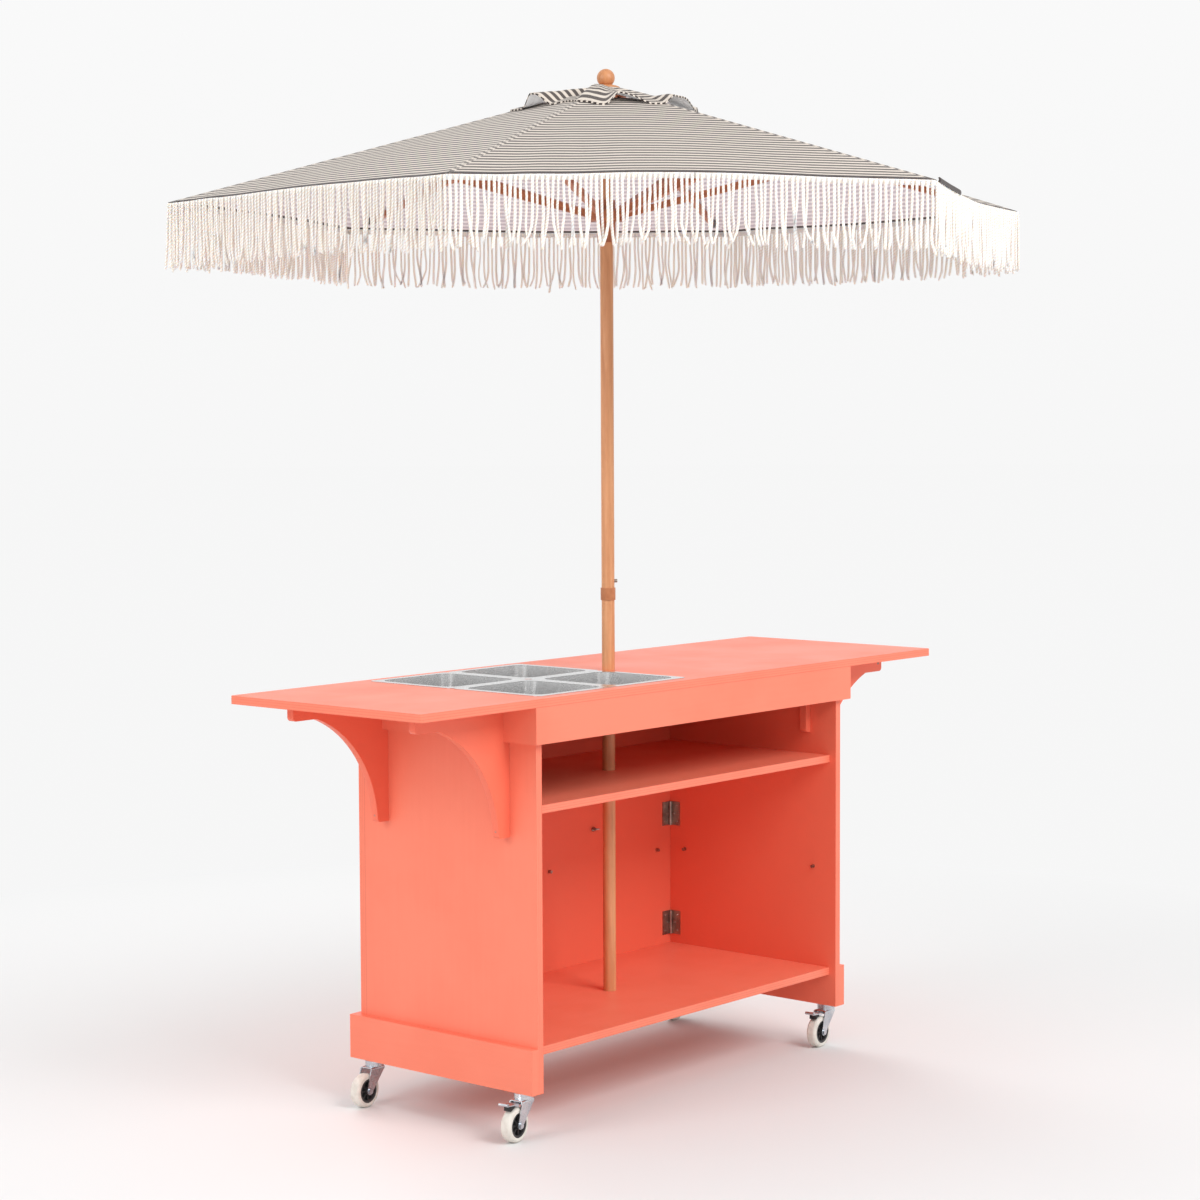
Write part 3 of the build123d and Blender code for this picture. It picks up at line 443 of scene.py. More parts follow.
def coral_ply(name, thin_axis, grain):
    """Painted board, thin along X, Y or Z, or along the way out of the cabinet for its outer bands."""
    material, tree, shader = new_finish(name, Specular_IOR_Level=0.35)
    place = object_place(tree)
    apart = split(place)
    facing = split(add(tree, "TexCoord").outputs["Normal"])
    if thin_axis == "out":
        beside = maths("SUBTRACT", maths("ABSOLUTE", apart["X"]), HALF_LENGTH)
        behind = maths("SUBTRACT", maths("ABSOLUTE", apart["Y"]), HALF_DEPTH)
        depth = maths("MAXIMUM", beside, behind)
        edge = maths("ABSOLUTE", facing["Z"])
    else:
        depth = apart[thin_axis]
        edge = flip(maths("ABSOLUTE", facing[thin_axis]))
    edge = spread(edge, EDGE_SPAN)
    lines = use(veneer_lines, {"Depth": depth, "Place": place, "Edge": edge})
    skin = use(paint_skin, {"Place": place, "Grain": grain})
    colour = mix(spread(skin["Tone"], (0.42, 0.62)), CORAL, CORAL_DEEP)
    colour = mix(times(lines["Shade"], LINE_SHARE), colour, CORAL_LINE)
    # Painted shade: faces inside the cabinet, and the brackets, are mixed towards the redder coral, standing in
    # for the shade and the bounced coral light there.
    if thin_axis in ("X", "Y"):
        inside = below(apart["Y"], SEAM_DEPTH)
        if thin_axis == "X":
            inside = times(inside, below(maths("ABSOLUTE", apart["X"]), INSIDE_LENGTH))
        colour = mix(times(inside, PAINTED_SHADE_SHARE), colour, CORAL_PAINTED_SHADE)
    if thin_axis == "X":
        seam = times(near(apart["Y"], SEAM_DEPTH, SEAM_WIDTH), flip(edge))
        colour = mix(times(seam, SEAM_SHARE), colour, CORAL_SEAM)
    height = plus(times(skin["Height"], 0.3), lines["Height"])
    wire(shader, colour, skin["Roughness"], height, depth=0.0003, strength=0.3)
    return material


# %% Paint the boards
ALONG, UPRIGHT, ROUND = (0.06, 1.0, 1.0), (1.0, 1.0, 0.06), (0.06, 0.06, 1.0)
BOARDS = {
    "coral_ply_flat": ("Z", ALONG, ("worktop", "middle_shelf", "bottom_deck")),
    "coral_ply_side": ("X", UPRIGHT, ("left_side_panel", "right_side_panel")),
    "coral_ply_back": ("Y", UPRIGHT, ("back_panel", "wing_brackets")),
    "coral_ply_band": ("out", ROUND, ("front_apron", "back_apron", "side_aprons", "plinths")),
}


def dress(material, *names):
    """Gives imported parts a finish."""
    for name in names:
        for slot in parts[name].material_slots:
            slot.material = material


boards = []
for finish, (thin_axis, grain, names) in BOARDS.items():
    dress(coral_ply(finish, thin_axis, grain), *names)
    boards += names
print("painted boards", len(boards))

# %% [markdown]
# ## Eased board edges
# A sanded board has no knife edge. Every edge could be rounded in the model, but the easing is finer than its
# other sizes and only shows in the light. So a Weld modifier joins the loose triangles of a packed board, and
# a narrow Bevel then eases its corners, which also opens a fine dark line where two boards meet.

# %% Ease the boards
EASE, EASE_STEPS, EASE_ANGLE = 0.0009, 2, math.radians(40)
WELD_REACH = 0.00002

for name in boards:
    weld = parts[name].modifiers.new("weld", "WELD")
    weld.merge_threshold = WELD_REACH
    bevel = parts[name].modifiers.new("ease", "BEVEL")
    bevel.width = EASE
    bevel.segments = EASE_STEPS
    bevel.limit_method = "ANGLE"
    bevel.angle_limit = EASE_ANGLE
    bevel.use_clamp_overlap = True
print("eased edges", EASE)

# %% [markdown]
# ## Wood
# The pole is turned from an orange-brown hardwood with long straight grain, the ribs and struts are a little
# darker, and the ball on top is paler. Every stick could have its own map, but one group makes the grain along
# its first axis, and each finish turns the coordinates so that this axis follows the stick. Ribs and struts
# spread from the pole, so their finish uses the distance from the pole as the long way.

# %% Upright and spreading wood
WOOD_DEPTH, WOOD_STRENGTH = 0.0004, 0.35
ACROSS_RADIUS = 0.6
RIB_TIP_RADIUS, TIP_PLASTIC = 0.8725, paint(46, 42, 41)


def upright_wood(name, light, dark):
    """Wood with its grain along Z."""
    material, tree, shader = new_finish(name, Coat_Weight=0.15, Coat_Roughness=0.3)
    turn = join("Mapping", {"Vector": object_place(tree), "Rotation": (0.0, math.radians(90), 0.0)})
    grain = use(wood_grain, {"Place": turn.outputs["Vector"], "Light": light, "Dark": dark})
    wire(shader, grain["Color"], grain["Roughness"], grain["Height"], WOOD_DEPTH, WOOD_STRENGTH)
    return material


def spreading_wood(name, light, dark, slope, capped):
    """Wood with its grain along sticks that spread from the pole; a capped stick ends in dark plastic."""
    material, tree, shader = new_finish(name, Coat_Weight=0.1, Coat_Roughness=0.35)
    place = object_place(tree)
    apart = split(place)
    radius = length(stretch(place, (1.0, 1.0, 0.0)))
    across = times(maths("ARCTAN2", apart["Y"], apart["X"]), ACROSS_RADIUS)
    level = plus(apart["Z"], times(radius, slope))
    stick = join("CombineXYZ", {"X": radius, "Y": across, "Z": level}).outputs["Vector"]
    grain = use(wood_grain, {"Place": stick, "Light": light, "Dark": dark})
    colour, rough = grain["Color"], grain["Roughness"]
    if capped:
        colour = mix(above(radius, RIB_TIP_RADIUS), colour, TIP_PLASTIC)
        rough = times(rough, 0.9)
    wire(shader, colour, rough, grain["Height"], WOOD_DEPTH, WOOD_STRENGTH)
    return material


# %% Pole, ribs, struts and ball
POLE_LIGHT, POLE_DARK = paint(226, 164, 116), paint(202, 136, 89)
RIB_LIGHT, RIB_DARK = paint(196, 120, 78), paint(160, 88, 52)
BALL_LIGHT, BALL_DARK = paint(211, 147, 99), paint(192, 126, 80)
RIB_SLOPE = math.tan(math.radians(14.5))
RIBS = range(1, 7)

dress(upright_wood("pole_wood", POLE_LIGHT, POLE_DARK), "lower_pole", "upper_pole")
dress(upright_wood("finial_wood", BALL_LIGHT, BALL_DARK), "finial")
dress(upright_wood("hub_wood", RIB_LIGHT, RIB_DARK), "top_hub", "runner")
rib_wood = spreading_wood("rib_wood", RIB_LIGHT, RIB_DARK, RIB_SLOPE, capped=True)
strut_wood = spreading_wood("strut_wood", RIB_LIGHT, RIB_DARK, -RIB_SLOPE, capped=False)
dress(rib_wood, *[f"rib_{number}" for number in RIBS])
dress(strut_wood, *[f"strut_{number}" for number in RIBS])
print("finishes", len(bpy.data.materials))

# %% [markdown]
# ## Metal, plastic and rubber
# The pans are brushed stainless steel, the caster forks bright zinc, the hinges and pegs dull steel. The
# wheels have a ribbed black plastic hub and a pale rubber tyre. One function could make them all with many
# switches, but bare metal and moulded pieces share little, so there are two. Metals differ by colour, by how
# rough they are and by the way that their scratches run.

# %% Bare metal
TONE_SPAN = (0.35, 0.65)
METAL_DEPTH, METAL_STRENGTH = 0.0003, 0.12
ZINC, ZINC_SHADE, ZINC_ROUGH = paint(214, 218, 222), paint(190, 195, 202), 0.26
STEEL, STEEL_SHADE = paint(178, 168, 158), paint(142, 132, 124)
PAN_BRUSH, UPRIGHT_BRUSH = (0.05, 1.0, 1.0), (1.0, 1.0, 0.2)
CORNERS = ("front_left", "front_right", "back_left", "back_right")


def metal(name, colour, shade, base, brush, strength=METAL_STRENGTH):
    """Bare metal with fine scratches."""
    material, tree, shader = new_finish(name, Metallic=1.0)
    marks = use(metal_scratches, {"Place": object_place(tree), "Brush": brush, "Base": base})
    tone = mix(spread(marks["Tone"], TONE_SPAN), colour, shade)
    wire(shader, tone, marks["Roughness"], marks["Height"], METAL_DEPTH, strength)
    return material


stainless = metal("pan_steel", grey(0.74), grey(0.69), 0.24, PAN_BRUSH, strength=0.06)
zinc = metal("bright_zinc", ZINC, ZINC_SHADE, ZINC_ROUGH, EVEN)
dull_steel = metal("dull_steel", STEEL, STEEL_SHADE, 0.40, UPRIGHT_BRUSH)
dress(stainless, *[f"pan_{corner}" for corner in CORNERS])
dress(zinc, "caster_stems", *[f"{corner}_fork" for corner in CORNERS])
dress(dull_steel, "butt_hinges", "shelf_pegs", "wing_screws", "lock_button")
print("metals", [stainless.name, zinc.name, dull_steel.name])

# %% Moulded plastic and rubber
def moulded(name, light, dark, rough, grain, strength):
    """Moulded plastic or rubber with a fine skin and a little dust."""
    material, tree, shader = new_finish(name)
    place = object_place(tree)
    skin = speckle(place, scale=grain)
    dust = speckle(place, scale=45.0, detail=4.0)
    tone = mix(spread(dust, (0.4, 0.7)), light, dark)
    wire(shader, tone, spread(dust, NOISE_SPAN, rough), skin, METAL_DEPTH, strength)
    return material


hub_plastic = moulded(
    "hub_plastic", paint(44, 43, 44), paint(58, 56, 56), rough=(0.36, 0.5), grain=1800.0, strength=0.2,
)
tyre_rubber = moulded(
    "tyre_rubber", paint(228, 223, 214), paint(206, 200, 190), rough=(0.55, 0.7), grain=1200.0, strength=0.25,
)
ferrule_sleeve = moulded(
    "ferrule_sleeve", paint(196, 128, 84), paint(176, 108, 66), rough=(0.32, 0.42), grain=900.0, strength=0.12,
)
dress(hub_plastic, *[f"{corner}_hub" for corner in CORNERS])
dress(tyre_rubber, *[f"{corner}_tyre" for corner in CORNERS])
dress(ferrule_sleeve, "pole_ferrule")
print("moulded", [hub_plastic.name, tyre_rubber.name, ferrule_sleeve.name])

# %% Brake pedals with a rubber shoe
SHOE_RUBBER, SHOE_ROUGHER = paint(38, 36, 36), 0.35
SHOE_START, SHOE_END, SHOE_TOP = 0.0318, 0.0462, -0.0001
PEDAL_LEAN = math.radians(-4)
PEDALS = {
    "left": ((-0.563896, -0.226706, 0.0805), math.radians(187.0)),
    "right": ((0.536034, -0.225977, 0.0805), math.radians(184.0)),
}


def pedal_metal(name, pivot, turn):
    """Zinc pedal; its shoe is black rubber, told apart by its place under the pedal's sheet."""
    material, tree, shader = new_finish(name)
    place = object_place(tree)
    marks = use(metal_scratches, {"Place": place, "Brush": EVEN, "Base": ZINC_ROUGH})
    lie = {"Vector": place, "Location": pivot, "Rotation": (0.0, PEDAL_LEAN, turn)}
    apart = split(join("Mapping", lie, vector_type="TEXTURE").outputs["Vector"])
    shoe = times(below(apart["Z"], SHOE_TOP), above(apart["X"], SHOE_START))
    shoe = times(shoe, below(apart["X"], SHOE_END))
    tone = mix(spread(marks["Tone"], TONE_SPAN), ZINC, ZINC_SHADE)
    tone = mix(shoe, tone, SHOE_RUBBER)
    rough = plus(marks["Roughness"], times(shoe, SHOE_ROUGHER))
    feed(shader.inputs["Metallic"], flip(shoe))
    wire(shader, tone, rough, marks["Height"], METAL_DEPTH, METAL_STRENGTH)
    return material


for side, (pivot, turn) in PEDALS.items():
    dress(pedal_metal(f"{side}_pedal_zinc", pivot, turn), f"front_{side}_brake_pedal")
print("finishes", len(bpy.data.materials))

# %% [markdown]
# ## Screws
# Each hinge leaf is held by three screws, and each bracket by one near its foot. The two brackets on the right
# also have one near the tip of the arm. The heads could be painted on, but a head stands proud and catches the
# light. So one head is modelled once, a low cone with a round recess, and copies of it are set into one piece.

# %% One screw head
HEAD_SIDES, HEAD_TOP, HEAD_HEIGHT = 14, 0.72, 0.36
RECESS_RIM, RECESS_DEPTH = 0.3, 0.22

bm = bmesh.new()
bmesh.ops.create_cone(bm, cap_ends=True, segments=HEAD_SIDES, radius1=1.0, radius2=HEAD_TOP, depth=HEAD_HEIGHT)
bmesh.ops.translate(bm, verts=bm.verts, vec=(0, 0, HEAD_HEIGHT / 2))
top = max(bm.faces, key=lambda face: face.calc_center_median().z)
bmesh.ops.inset_individual(bm, faces=[top], thickness=RECESS_RIM)
bmesh.ops.translate(bm, verts=top.verts, vec=(0, 0, -RECESS_DEPTH))
screw_mesh = close_mesh(bm, "screw")
print("faces of a screw head", len(screw_mesh.polygons))

# %% Set the screws
HINGE_LOWS = (0.217, 0.496)
LEAF_SCREWS = ((0.010, -0.005), (0.030, 0.004), (0.050, -0.005))
SIDE_LEAF, SIDE_LEAF_DEPTH = 0.530, 0.2298
BACK_LEAF, BACK_LEAF_DEPTH = 0.5138, 0.246
FOOT_SCREW, ARM_SCREW = (0.5846, 0.181, 0.660), (0.819, 0.190, 0.911)
LEAF_HEAD, FOOT_HEAD, ARM_HEAD = 0.0031, 0.0028, 0.0034


def set_screw(bm, place, facing, radius):
    """Sets one screw head on a face."""
    before = len(bm.verts)
    bm.from_mesh(screw_mesh)
    bm.verts.ensure_lookup_table()
    turn = Vector(facing).to_track_quat("Z", "Y").to_matrix().to_4x4()
    lie = Matrix.Translation(place) @ turn @ Matrix.Scale(radius, 4)
    bmesh.ops.transform(bm, matrix=lie, verts=bm.verts[before:])


def finish_mesh(bm, name, body, *finishes, smooth=True):
    """Turns a bmesh into a piece that rides on a body."""
    mesh = close_mesh(bm, name)
    for face in mesh.polygons:
        face.use_smooth = smooth
    for finish in finishes:
        mesh.materials.append(finish)
    piece = place_object(name, mesh)
    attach(piece, body)
    return piece


bm = bmesh.new()
for side in (-1, 1):
    for low in HINGE_LOWS:
        for rise, shift in LEAF_SCREWS:
            on_side = (side * SIDE_LEAF, SIDE_LEAF_DEPTH + shift, low + rise)
            on_back = (side * (BACK_LEAF + shift), BACK_LEAF_DEPTH, low + rise)
            set_screw(bm, on_side, (-side, 0, 0), LEAF_HEAD)
            set_screw(bm, on_back, (0, -1, 0), LEAF_HEAD)
    for end in (-1, 1):
        x, depth, height = FOOT_SCREW
        set_screw(bm, (side * x, end * depth, height), (side, 0, 0), FOOT_HEAD)
for end in (-1, 1):
    x, depth, height = ARM_SCREW
    set_screw(bm, (x, end * depth, height), (0, end, 0), ARM_HEAD)
screws = finish_mesh(bm, "screw_heads", "cart", dull_steel, smooth=False)
print("screw faces", len(screws.data.polygons))

# %% [markdown]
# ## Striped cloth
# The canopy is a yarn-dyed cloth with even dark and cream stripes along the hem of each gore, so the stripes
# meet in mitres over the ribs. Stripes by height would do on a smooth cone, but not on a ruffled cap. So the
# pattern lives on the cloth's own UV map in metres: the first value is the distance from the rib seam and the
# second the distance from the hem. The underside shows the same stripes, painted paler and brighter than on top
# as painted light for the light from above that shines through, and some of that light also glows through it.

# %% Woven stripes
STRIPE, WOBBLE = 0.024, 0.0006
SEAM, STITCH, THREAD = 0.0065, 0.004, 0.0007
DASH, WEAVE_SPAN = 0.013, (0.2, 0.9)
BINDING = paint(70, 61, 59)


def striped_cloth(name, cream, stone, band, seam, phase=0.0, glow=0.0, dashed=False):
    """Woven stripes on the cloth's own map, with a dark band at the hem and a sewn seam over the rib."""
    material, tree, shader = new_finish(
        name, Sheen_Weight=0.15, Specular_IOR_Level=0.2,
        Subsurface_Weight=glow, Subsurface_Scale=0.006, Subsurface_Radius=(1.0, 1.0, 1.0),
    )
    cloth = add(tree, "UVMap", uv_map="cloth").outputs["UV"]
    apart = split(cloth)
    from_rib = maths("ABSOLUTE", apart["X"])
    fold = below(from_rib, seam)
    wobble = spread(speckle(cloth, scale=18.0, detail=1.0), NOISE_SPAN, (-WOBBLE, WOBBLE))
    row = plus(plus(apart["Y"], times(fold, STRIPE / 2)), wobble)
    row = plus(maths("DIVIDE", row, STRIPE), phase)
    stripe = spread(wave(row, math.tau), (-0.22, 0.05))
    binding = BINDING
    if dashed:
        dash = wave(apart["X"], math.tau / DASH)
        binding = mix(above(dash, -0.25), cream, BINDING)
    tone = mix(below(apart["Y"], band), mix(stripe, cream, stone), binding)
    weave = use(plain_weave, {"Thread": cloth})
    tone = mix(1.0, tone, spread(weave["Shade"], WEAVE_SPAN, (0.86, 1.0)), "MULTIPLY")
    stitch = above(wave(apart["Y"], math.tau / STITCH), -0.3)
    thread = times(near(from_rib, seam * 0.72, THREAD), stitch)
    tone = mix(times(thread, 0.5), tone, cream)
    ridge = plus(times(fold, 0.9), times(thread, -0.6))
    height = plus(ridge, times(weave["Height"], 0.35))
    rough = spread(weave["Shade"], WEAVE_SPAN, (0.72, 0.86))
    wire(shader, tone, rough, height, depth=0.0006, strength=0.6)
    return material


# %% Cloth finishes
HEM_BAND, CAP_BAND, CAP_PHASE = 0.014, 0.005, 0.4
CREAM, STONE = paint(226, 215, 203), paint(90, 82, 79)
# The underside colours on the next two lines are painted light: paler and brighter than the top's, standing in
# for the light from above that shines through the cloth.
UNDER_LIT_CREAM, UNDER_LIT_STONE = paint(240, 236, 239), paint(206, 200, 208)
CAP_UNDER_LIT_CREAM, CAP_UNDER_LIT_STONE = paint(250, 247, 247), paint(240, 236, 236)

canopy_top = striped_cloth("canopy_cloth", CREAM, STONE, HEM_BAND, SEAM)
canopy_under = striped_cloth("canopy_underside", UNDER_LIT_CREAM, UNDER_LIT_STONE, HEM_BAND, SEAM, glow=0.5)
cap_top = striped_cloth("vent_cap_cloth", CREAM, STONE, CAP_BAND, 0.0, CAP_PHASE, dashed=True)
cap_under = striped_cloth(
    "vent_cap_underside", CAP_UNDER_LIT_CREAM, CAP_UNDER_LIT_STONE, CAP_BAND, 0.0, CAP_PHASE, glow=0.9, dashed=True,
)
print("stripes every", STRIPE)

# %% [markdown]
# ## The canopy
# The canopy is one tight sheet over six ribs. A cloth simulation could stretch it, but a tight cloth follows
# its frame, so a flat grid is laid on the known surface: straight down each rib, pulled in between two ribs,
# with faint drag lines towards the corners. Some gores are taut and rise a little in the middle, others sag,
# and a table tells which. The sheet opens and folds with the ribs, so it is cut along the middle of each gore
# into six kites, and each kite rides on its own rib. At rest the kites meet exactly.

# %% Surface of the canopy
FIRST_RIB, GORE = 22.2, 60
RIB_TURNS = [math.radians(FIRST_RIB + GORE * k) for k in range(6)]
HALF_GORE = math.radians(GORE / 2)
HEM_RADIUS, VENT_RADIUS = 0.992, 0.150
CANOPY_SLOPE = math.tan(math.radians(15.4))
HEM_LIFT, HEM_PULL = 0.0036, 0.013
HEM_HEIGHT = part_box("canopy")[0].z + HEM_LIFT
HEM_RISES = (-0.006, 0.002, 0.006, 0.010, -0.009, -0.006)
DRAG_HEIGHT, DRAG_LINES, DRAG_TURN, DRAG_REACH = 0.0022, 5.0, 9.0, 1.4


def around(turn, radius, height):
    """A point at a turn and a distance from the pole."""
    return Vector((radius * math.cos(turn), radius * math.sin(turn), height))


def eased(share):
    """A share that starts and ends gently."""
    return share * share * (3 - 2 * share)


def canopy_point(turn, along, across):
    """Upper face of the canopy: along runs from vent to hem, across from one gore middle to the other."""
    radius = VENT_RADIUS + along * (HEM_RADIUS - VENT_RADIUS)
    share = radius / HEM_RADIUS
    height = HEM_HEIGHT + (HEM_RADIUS - radius) * CANOPY_SLOPE
    side = abs(across)
    pull = side * (2 - side)
    middle_turn = turn + math.copysign(HALF_GORE, across)
    gore = round((middle_turn - RIB_TURNS[0] - HALF_GORE) / math.radians(GORE)) % 6
    on_rib = around(turn, radius, height)
    on_middle = around(middle_turn, radius * math.cos(HALF_GORE), height)
    point = on_rib.lerp(on_middle, side)
    point -= around(middle_turn, HEM_PULL * share * pull, 0.0)
    point.z += HEM_RISES[gore] * share * eased(side)
    drag = noise.noise(Vector((across * DRAG_LINES + turn * DRAG_TURN, along * DRAG_REACH, 0.5)))
    point.z += DRAG_HEIGHT * drag * pull * (1 - pull) * 4 * along
    return point


GORE_LENGTH = (canopy_point(0.0, 1.0, 1.0) - canopy_point(0.0, 0.0, 1.0)).length
print("gore length", round(GORE_LENGTH, 4))

# %% Sheets of cloth
UP, MERGE = Vector((0, 0, 1)), 1e-6


def sheet_grid(steps, turn, place, measure, out=UP):
    """Grid that looks out. Its points and its map of distances are told by (turn, along, across)."""
    bm = bmesh.new()
    bmesh.ops.create_grid(bm, x_segments=steps[0], y_segments=steps[1], size=1.0)
    cloth = bm.loops.layers.uv.new("cloth")
    for face in bm.faces:
        for loop in face.loops:
            loop[cloth].uv = measure(turn, (loop.vert.co.y + 1) / 2, loop.vert.co.x)
    for vert in bm.verts:
        vert.co = place(turn, (vert.co.y + 1) / 2, vert.co.x)
    bm.normal_update()
    if sum(face.normal.dot(out) for face in bm.faces) < 0:
        bmesh.ops.reverse_faces(bm, faces=bm.faces)
    return bm


def cloth_sheet(bm, name, body, stands_for, thickness, *finishes):
    """Sheet with sharp rims, its thickness below the grid and the second finish underneath."""
    for edge in bm.edges:
        edge.smooth = not edge.is_boundary
    bmesh.ops.remove_doubles(bm, verts=bm.verts, dist=MERGE)
    sheet = finish_mesh(bm, name, body, *finishes)
    wall = sheet.modifiers.new("thickness", "SOLIDIFY")
    wall.thickness = thickness
    wall.offset = -1.0
    wall.material_offset = 1
    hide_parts(stands_for)
    return sheet


def gather_kite(piece):
    """Gives a piece its own copy of its mesh."""
    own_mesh(piece)


# %% Canopy kites
KITE_STEPS, CLOTH = (32, 48), 0.0014


def canopy_map(turn, along, across):
    """Distances from the rib seam and from the hem."""
    half = (canopy_point(turn, along, 1.0) - canopy_point(turn, along, 0.0)).length
    return across * half, (1 - along) * GORE_LENGTH


kites = []
for number, turn in enumerate(RIB_TURNS, 1):
    bm = sheet_grid(KITE_STEPS, turn, canopy_point, canopy_map)
    cut = sum(face.calc_area() for face in bm.faces)
    name = f"canopy_kite_{number}"
    kite = cloth_sheet(bm, name, f"rib_{number}", "canopy", CLOTH, canopy_top, canopy_under)
    gather_kite(kite)
    kites.append((kite, cut))
print("canopy kites", len(kites), "cut area each", round(kites[0][1], 3))

# %% [markdown]
# ## The vent cap
# A small ruffled cap covers the opening at the top. Its crown is held under the ball, and its hem is loose:
# it buckles up in front, lifts at the sides and shows its grey underside. A simulation would fold it in some
# way, but not in this one. So the skirt is six kites like the canopy, placed by tables that tell how far the
# hem reaches and lifts round the circle. The crown disc stays on the pole.

# %% Folds of the cap, as degrees round the pole and millimetres
HEM_FOLDS = (
    (2, 217, 1), (22, 216, 9), (44, 217, 1), (64, 216, 9), (86, 217, 0), (104, 216, 10), (124, 218, 1),
    (141, 222, -3), (157, 217, -2), (163, 215, 8), (167, 214, 8), (178, 196, 2), (186, 178, 3), (195, 184, 2),
    (205, 208, 3), (219, 227, -6), (230, 200, 22), (257, 213, -3), (266, 218, 18), (276, 221, 20),
    (298, 224, -4), (312, 217, 8), (326, 217, 0), (344, 216, 10),
)
BODY_FOLDS = (
    (0, 0, 0), (50, 3, 0), (100, 3, 0), (141, 2, 0), (155, 1, 0), (163, 4, 20), (168, 4, 20), (179, -6, 0),
    (188, -7, 0), (196, 2, 0), (205, 20, 0), (213, 18, 0), (222, 12, 0), (231, 5, 0), (245, -3, 0),
    (257, 1, 0), (268, 3, 0), (285, 0, 0), (310, 3, 0), (335, 1, 0),
)


def table_row(rows, degrees):
    """The two values of a table at a turn, eased between its rows, in metres."""
    rows = [(rows[-1][0] - 360, *rows[-1][1:]), *rows, (rows[0][0] + 360, *rows[0][1:])]
    spans = zip(rows, rows[1:])
    (start, *low), (end, *high) = next(span for span in spans if span[0][0] <= degrees <= span[1][0])
    share = eased((degrees - start) / (end - start))
    return [(a + (b - a) * share) / 1000 for a, b in zip(low, high)]


print("reach and lift of the hem at 270 degrees", [round(value, 4) for value in table_row(HEM_FOLDS, 270)])

# %% Surface of the cap
CAP_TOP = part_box("vent_cap")[1].z
CAP_RADIUS, CAP_INNER = 0.217, 0.024
CROWN_EDGE, CAP_DROP, CAP_REST = 0.034, 0.0504, 0.0042
CURL_START, CURL_REACH = 0.58, 0.42
CREASES, CREASE_RUN, CREASE_HEIGHT = 4.2, 3.0, 0.0035
CORNER_SHARE, VENT_LAP = 0.5, 0.02


def cap_point(turn, share):
    """Upper face of the cap: share 0 at the crown edge, 1 at the hem, where the outer part curls up."""
    degrees = math.degrees(turn) % 360
    reach, hem = table_row(HEM_FOLDS, degrees)
    body, fin = table_row(BODY_FOLDS, degrees)
    middle_cosine = math.cos(math.radians((degrees - FIRST_RIB) % GORE - GORE / 2))
    corner = math.cos(HALF_GORE) / middle_cosine
    reach *= corner + CORNER_SHARE * (1 - corner)
    curl = min(max((share - CURL_START) / CURL_REACH, 0.0), 1.0)
    crease = noise.noise(Vector((CREASES * math.cos(turn), CREASES * math.sin(turn), CREASE_RUN * share)))
    down = max(share, 0.0)
    height = CAP_TOP - down * CAP_DROP + 4 * down * (1 - down) * body + eased(curl) * hem
    height += (fin + CREASE_HEIGHT * crease) * down
    radius = CROWN_EDGE + share * (reach - CROWN_EDGE)
    rib_radius = radius * middle_cosine / math.cos(HALF_GORE)
    bed = HEM_HEIGHT + (HEM_RADIUS - rib_radius) * CANOPY_SLOPE + CAP_REST
    return around(turn, radius, max(height, bed) if rib_radius > VENT_RADIUS - VENT_LAP else height)


print("top of the cap", round(CAP_TOP, 4))

# %% Skirt of the cap
CAP_ACROSS, CAP_ROWS = 60, 24
HEM_FOLD, CAP_CLOTH = 0.0034, 0.001
CAP_START = (CAP_INNER - CROWN_EDGE) / (CAP_RADIUS - CROWN_EDGE)


def fold_share(along):
    """How far down the skirt, and how far down the folded hem, which is the last row of the grid."""
    rows = along * CAP_ROWS
    return min(rows / (CAP_ROWS - 1), 1.0), max(rows - CAP_ROWS + 1, 0.0)


def on_cap(turn, along, across):
    """Skirt from its inner edge down to the folded hem."""
    skirt, fold = fold_share(along)
    point = cap_point(turn + across * HALF_GORE, CAP_START + skirt * (1 - CAP_START))
    return point - Vector((0.0, 0.0, HEM_FOLD * fold))


def cap_map(turn, along, across):
    skirt, fold = fold_share(along)
    radius = CAP_INNER + skirt * (CAP_RADIUS - CAP_INNER)
    return (turn + across * HALF_GORE) * radius, CAP_RADIUS - radius + HEM_FOLD * (1 - fold)


for number, turn in enumerate(RIB_TURNS, 1):
    bm = sheet_grid((CAP_ACROSS, CAP_ROWS), turn, on_cap, cap_map)
    cut = sum(face.calc_area() for face in bm.faces)
    name = f"vent_cap_kite_{number}"
    kite = cloth_sheet(bm, name, f"rib_{number}", "vent_cap", CAP_CLOTH, cap_top, cap_under)
    gather_kite(kite)
    print("vent cap kite", number, "cut area", round(cut, 4))

# %% Crown of the cap
CROWN_STEPS, CROWN_RADIUS, CROWN_HOLE = (96, 8), 0.062, 0.0065
CROWN_CLOTH, CROWN_LIFT, CROWN_ROW = 0.0008, 0.0003, 0.2


def on_crown(turn, along, across):
    """Crown disc: level inside the crown edge, on the skirt outside it."""
    radius = CROWN_HOLE + along * (CROWN_RADIUS - CROWN_HOLE)
    share = (radius - CROWN_EDGE) / (CAP_RADIUS - CROWN_EDGE)
    turn += across * math.pi
    point = around(turn, radius, CAP_TOP) if share < 0 else cap_point(turn, share)
    return point + Vector((0.0, 0.0, CROWN_LIFT))


def crown_map(turn, along, across):
    return (turn + across * math.pi) * CROWN_RADIUS, CROWN_ROW + (1 - along) * CROWN_RADIUS


bm = sheet_grid(CROWN_STEPS, 0.0, on_crown, crown_map)
crown = cloth_sheet(bm, "vent_cap_crown", "upper_pole", "vent_cap", CROWN_CLOTH, cap_top, cap_under)
print("crown faces", len(crown.data.polygons))
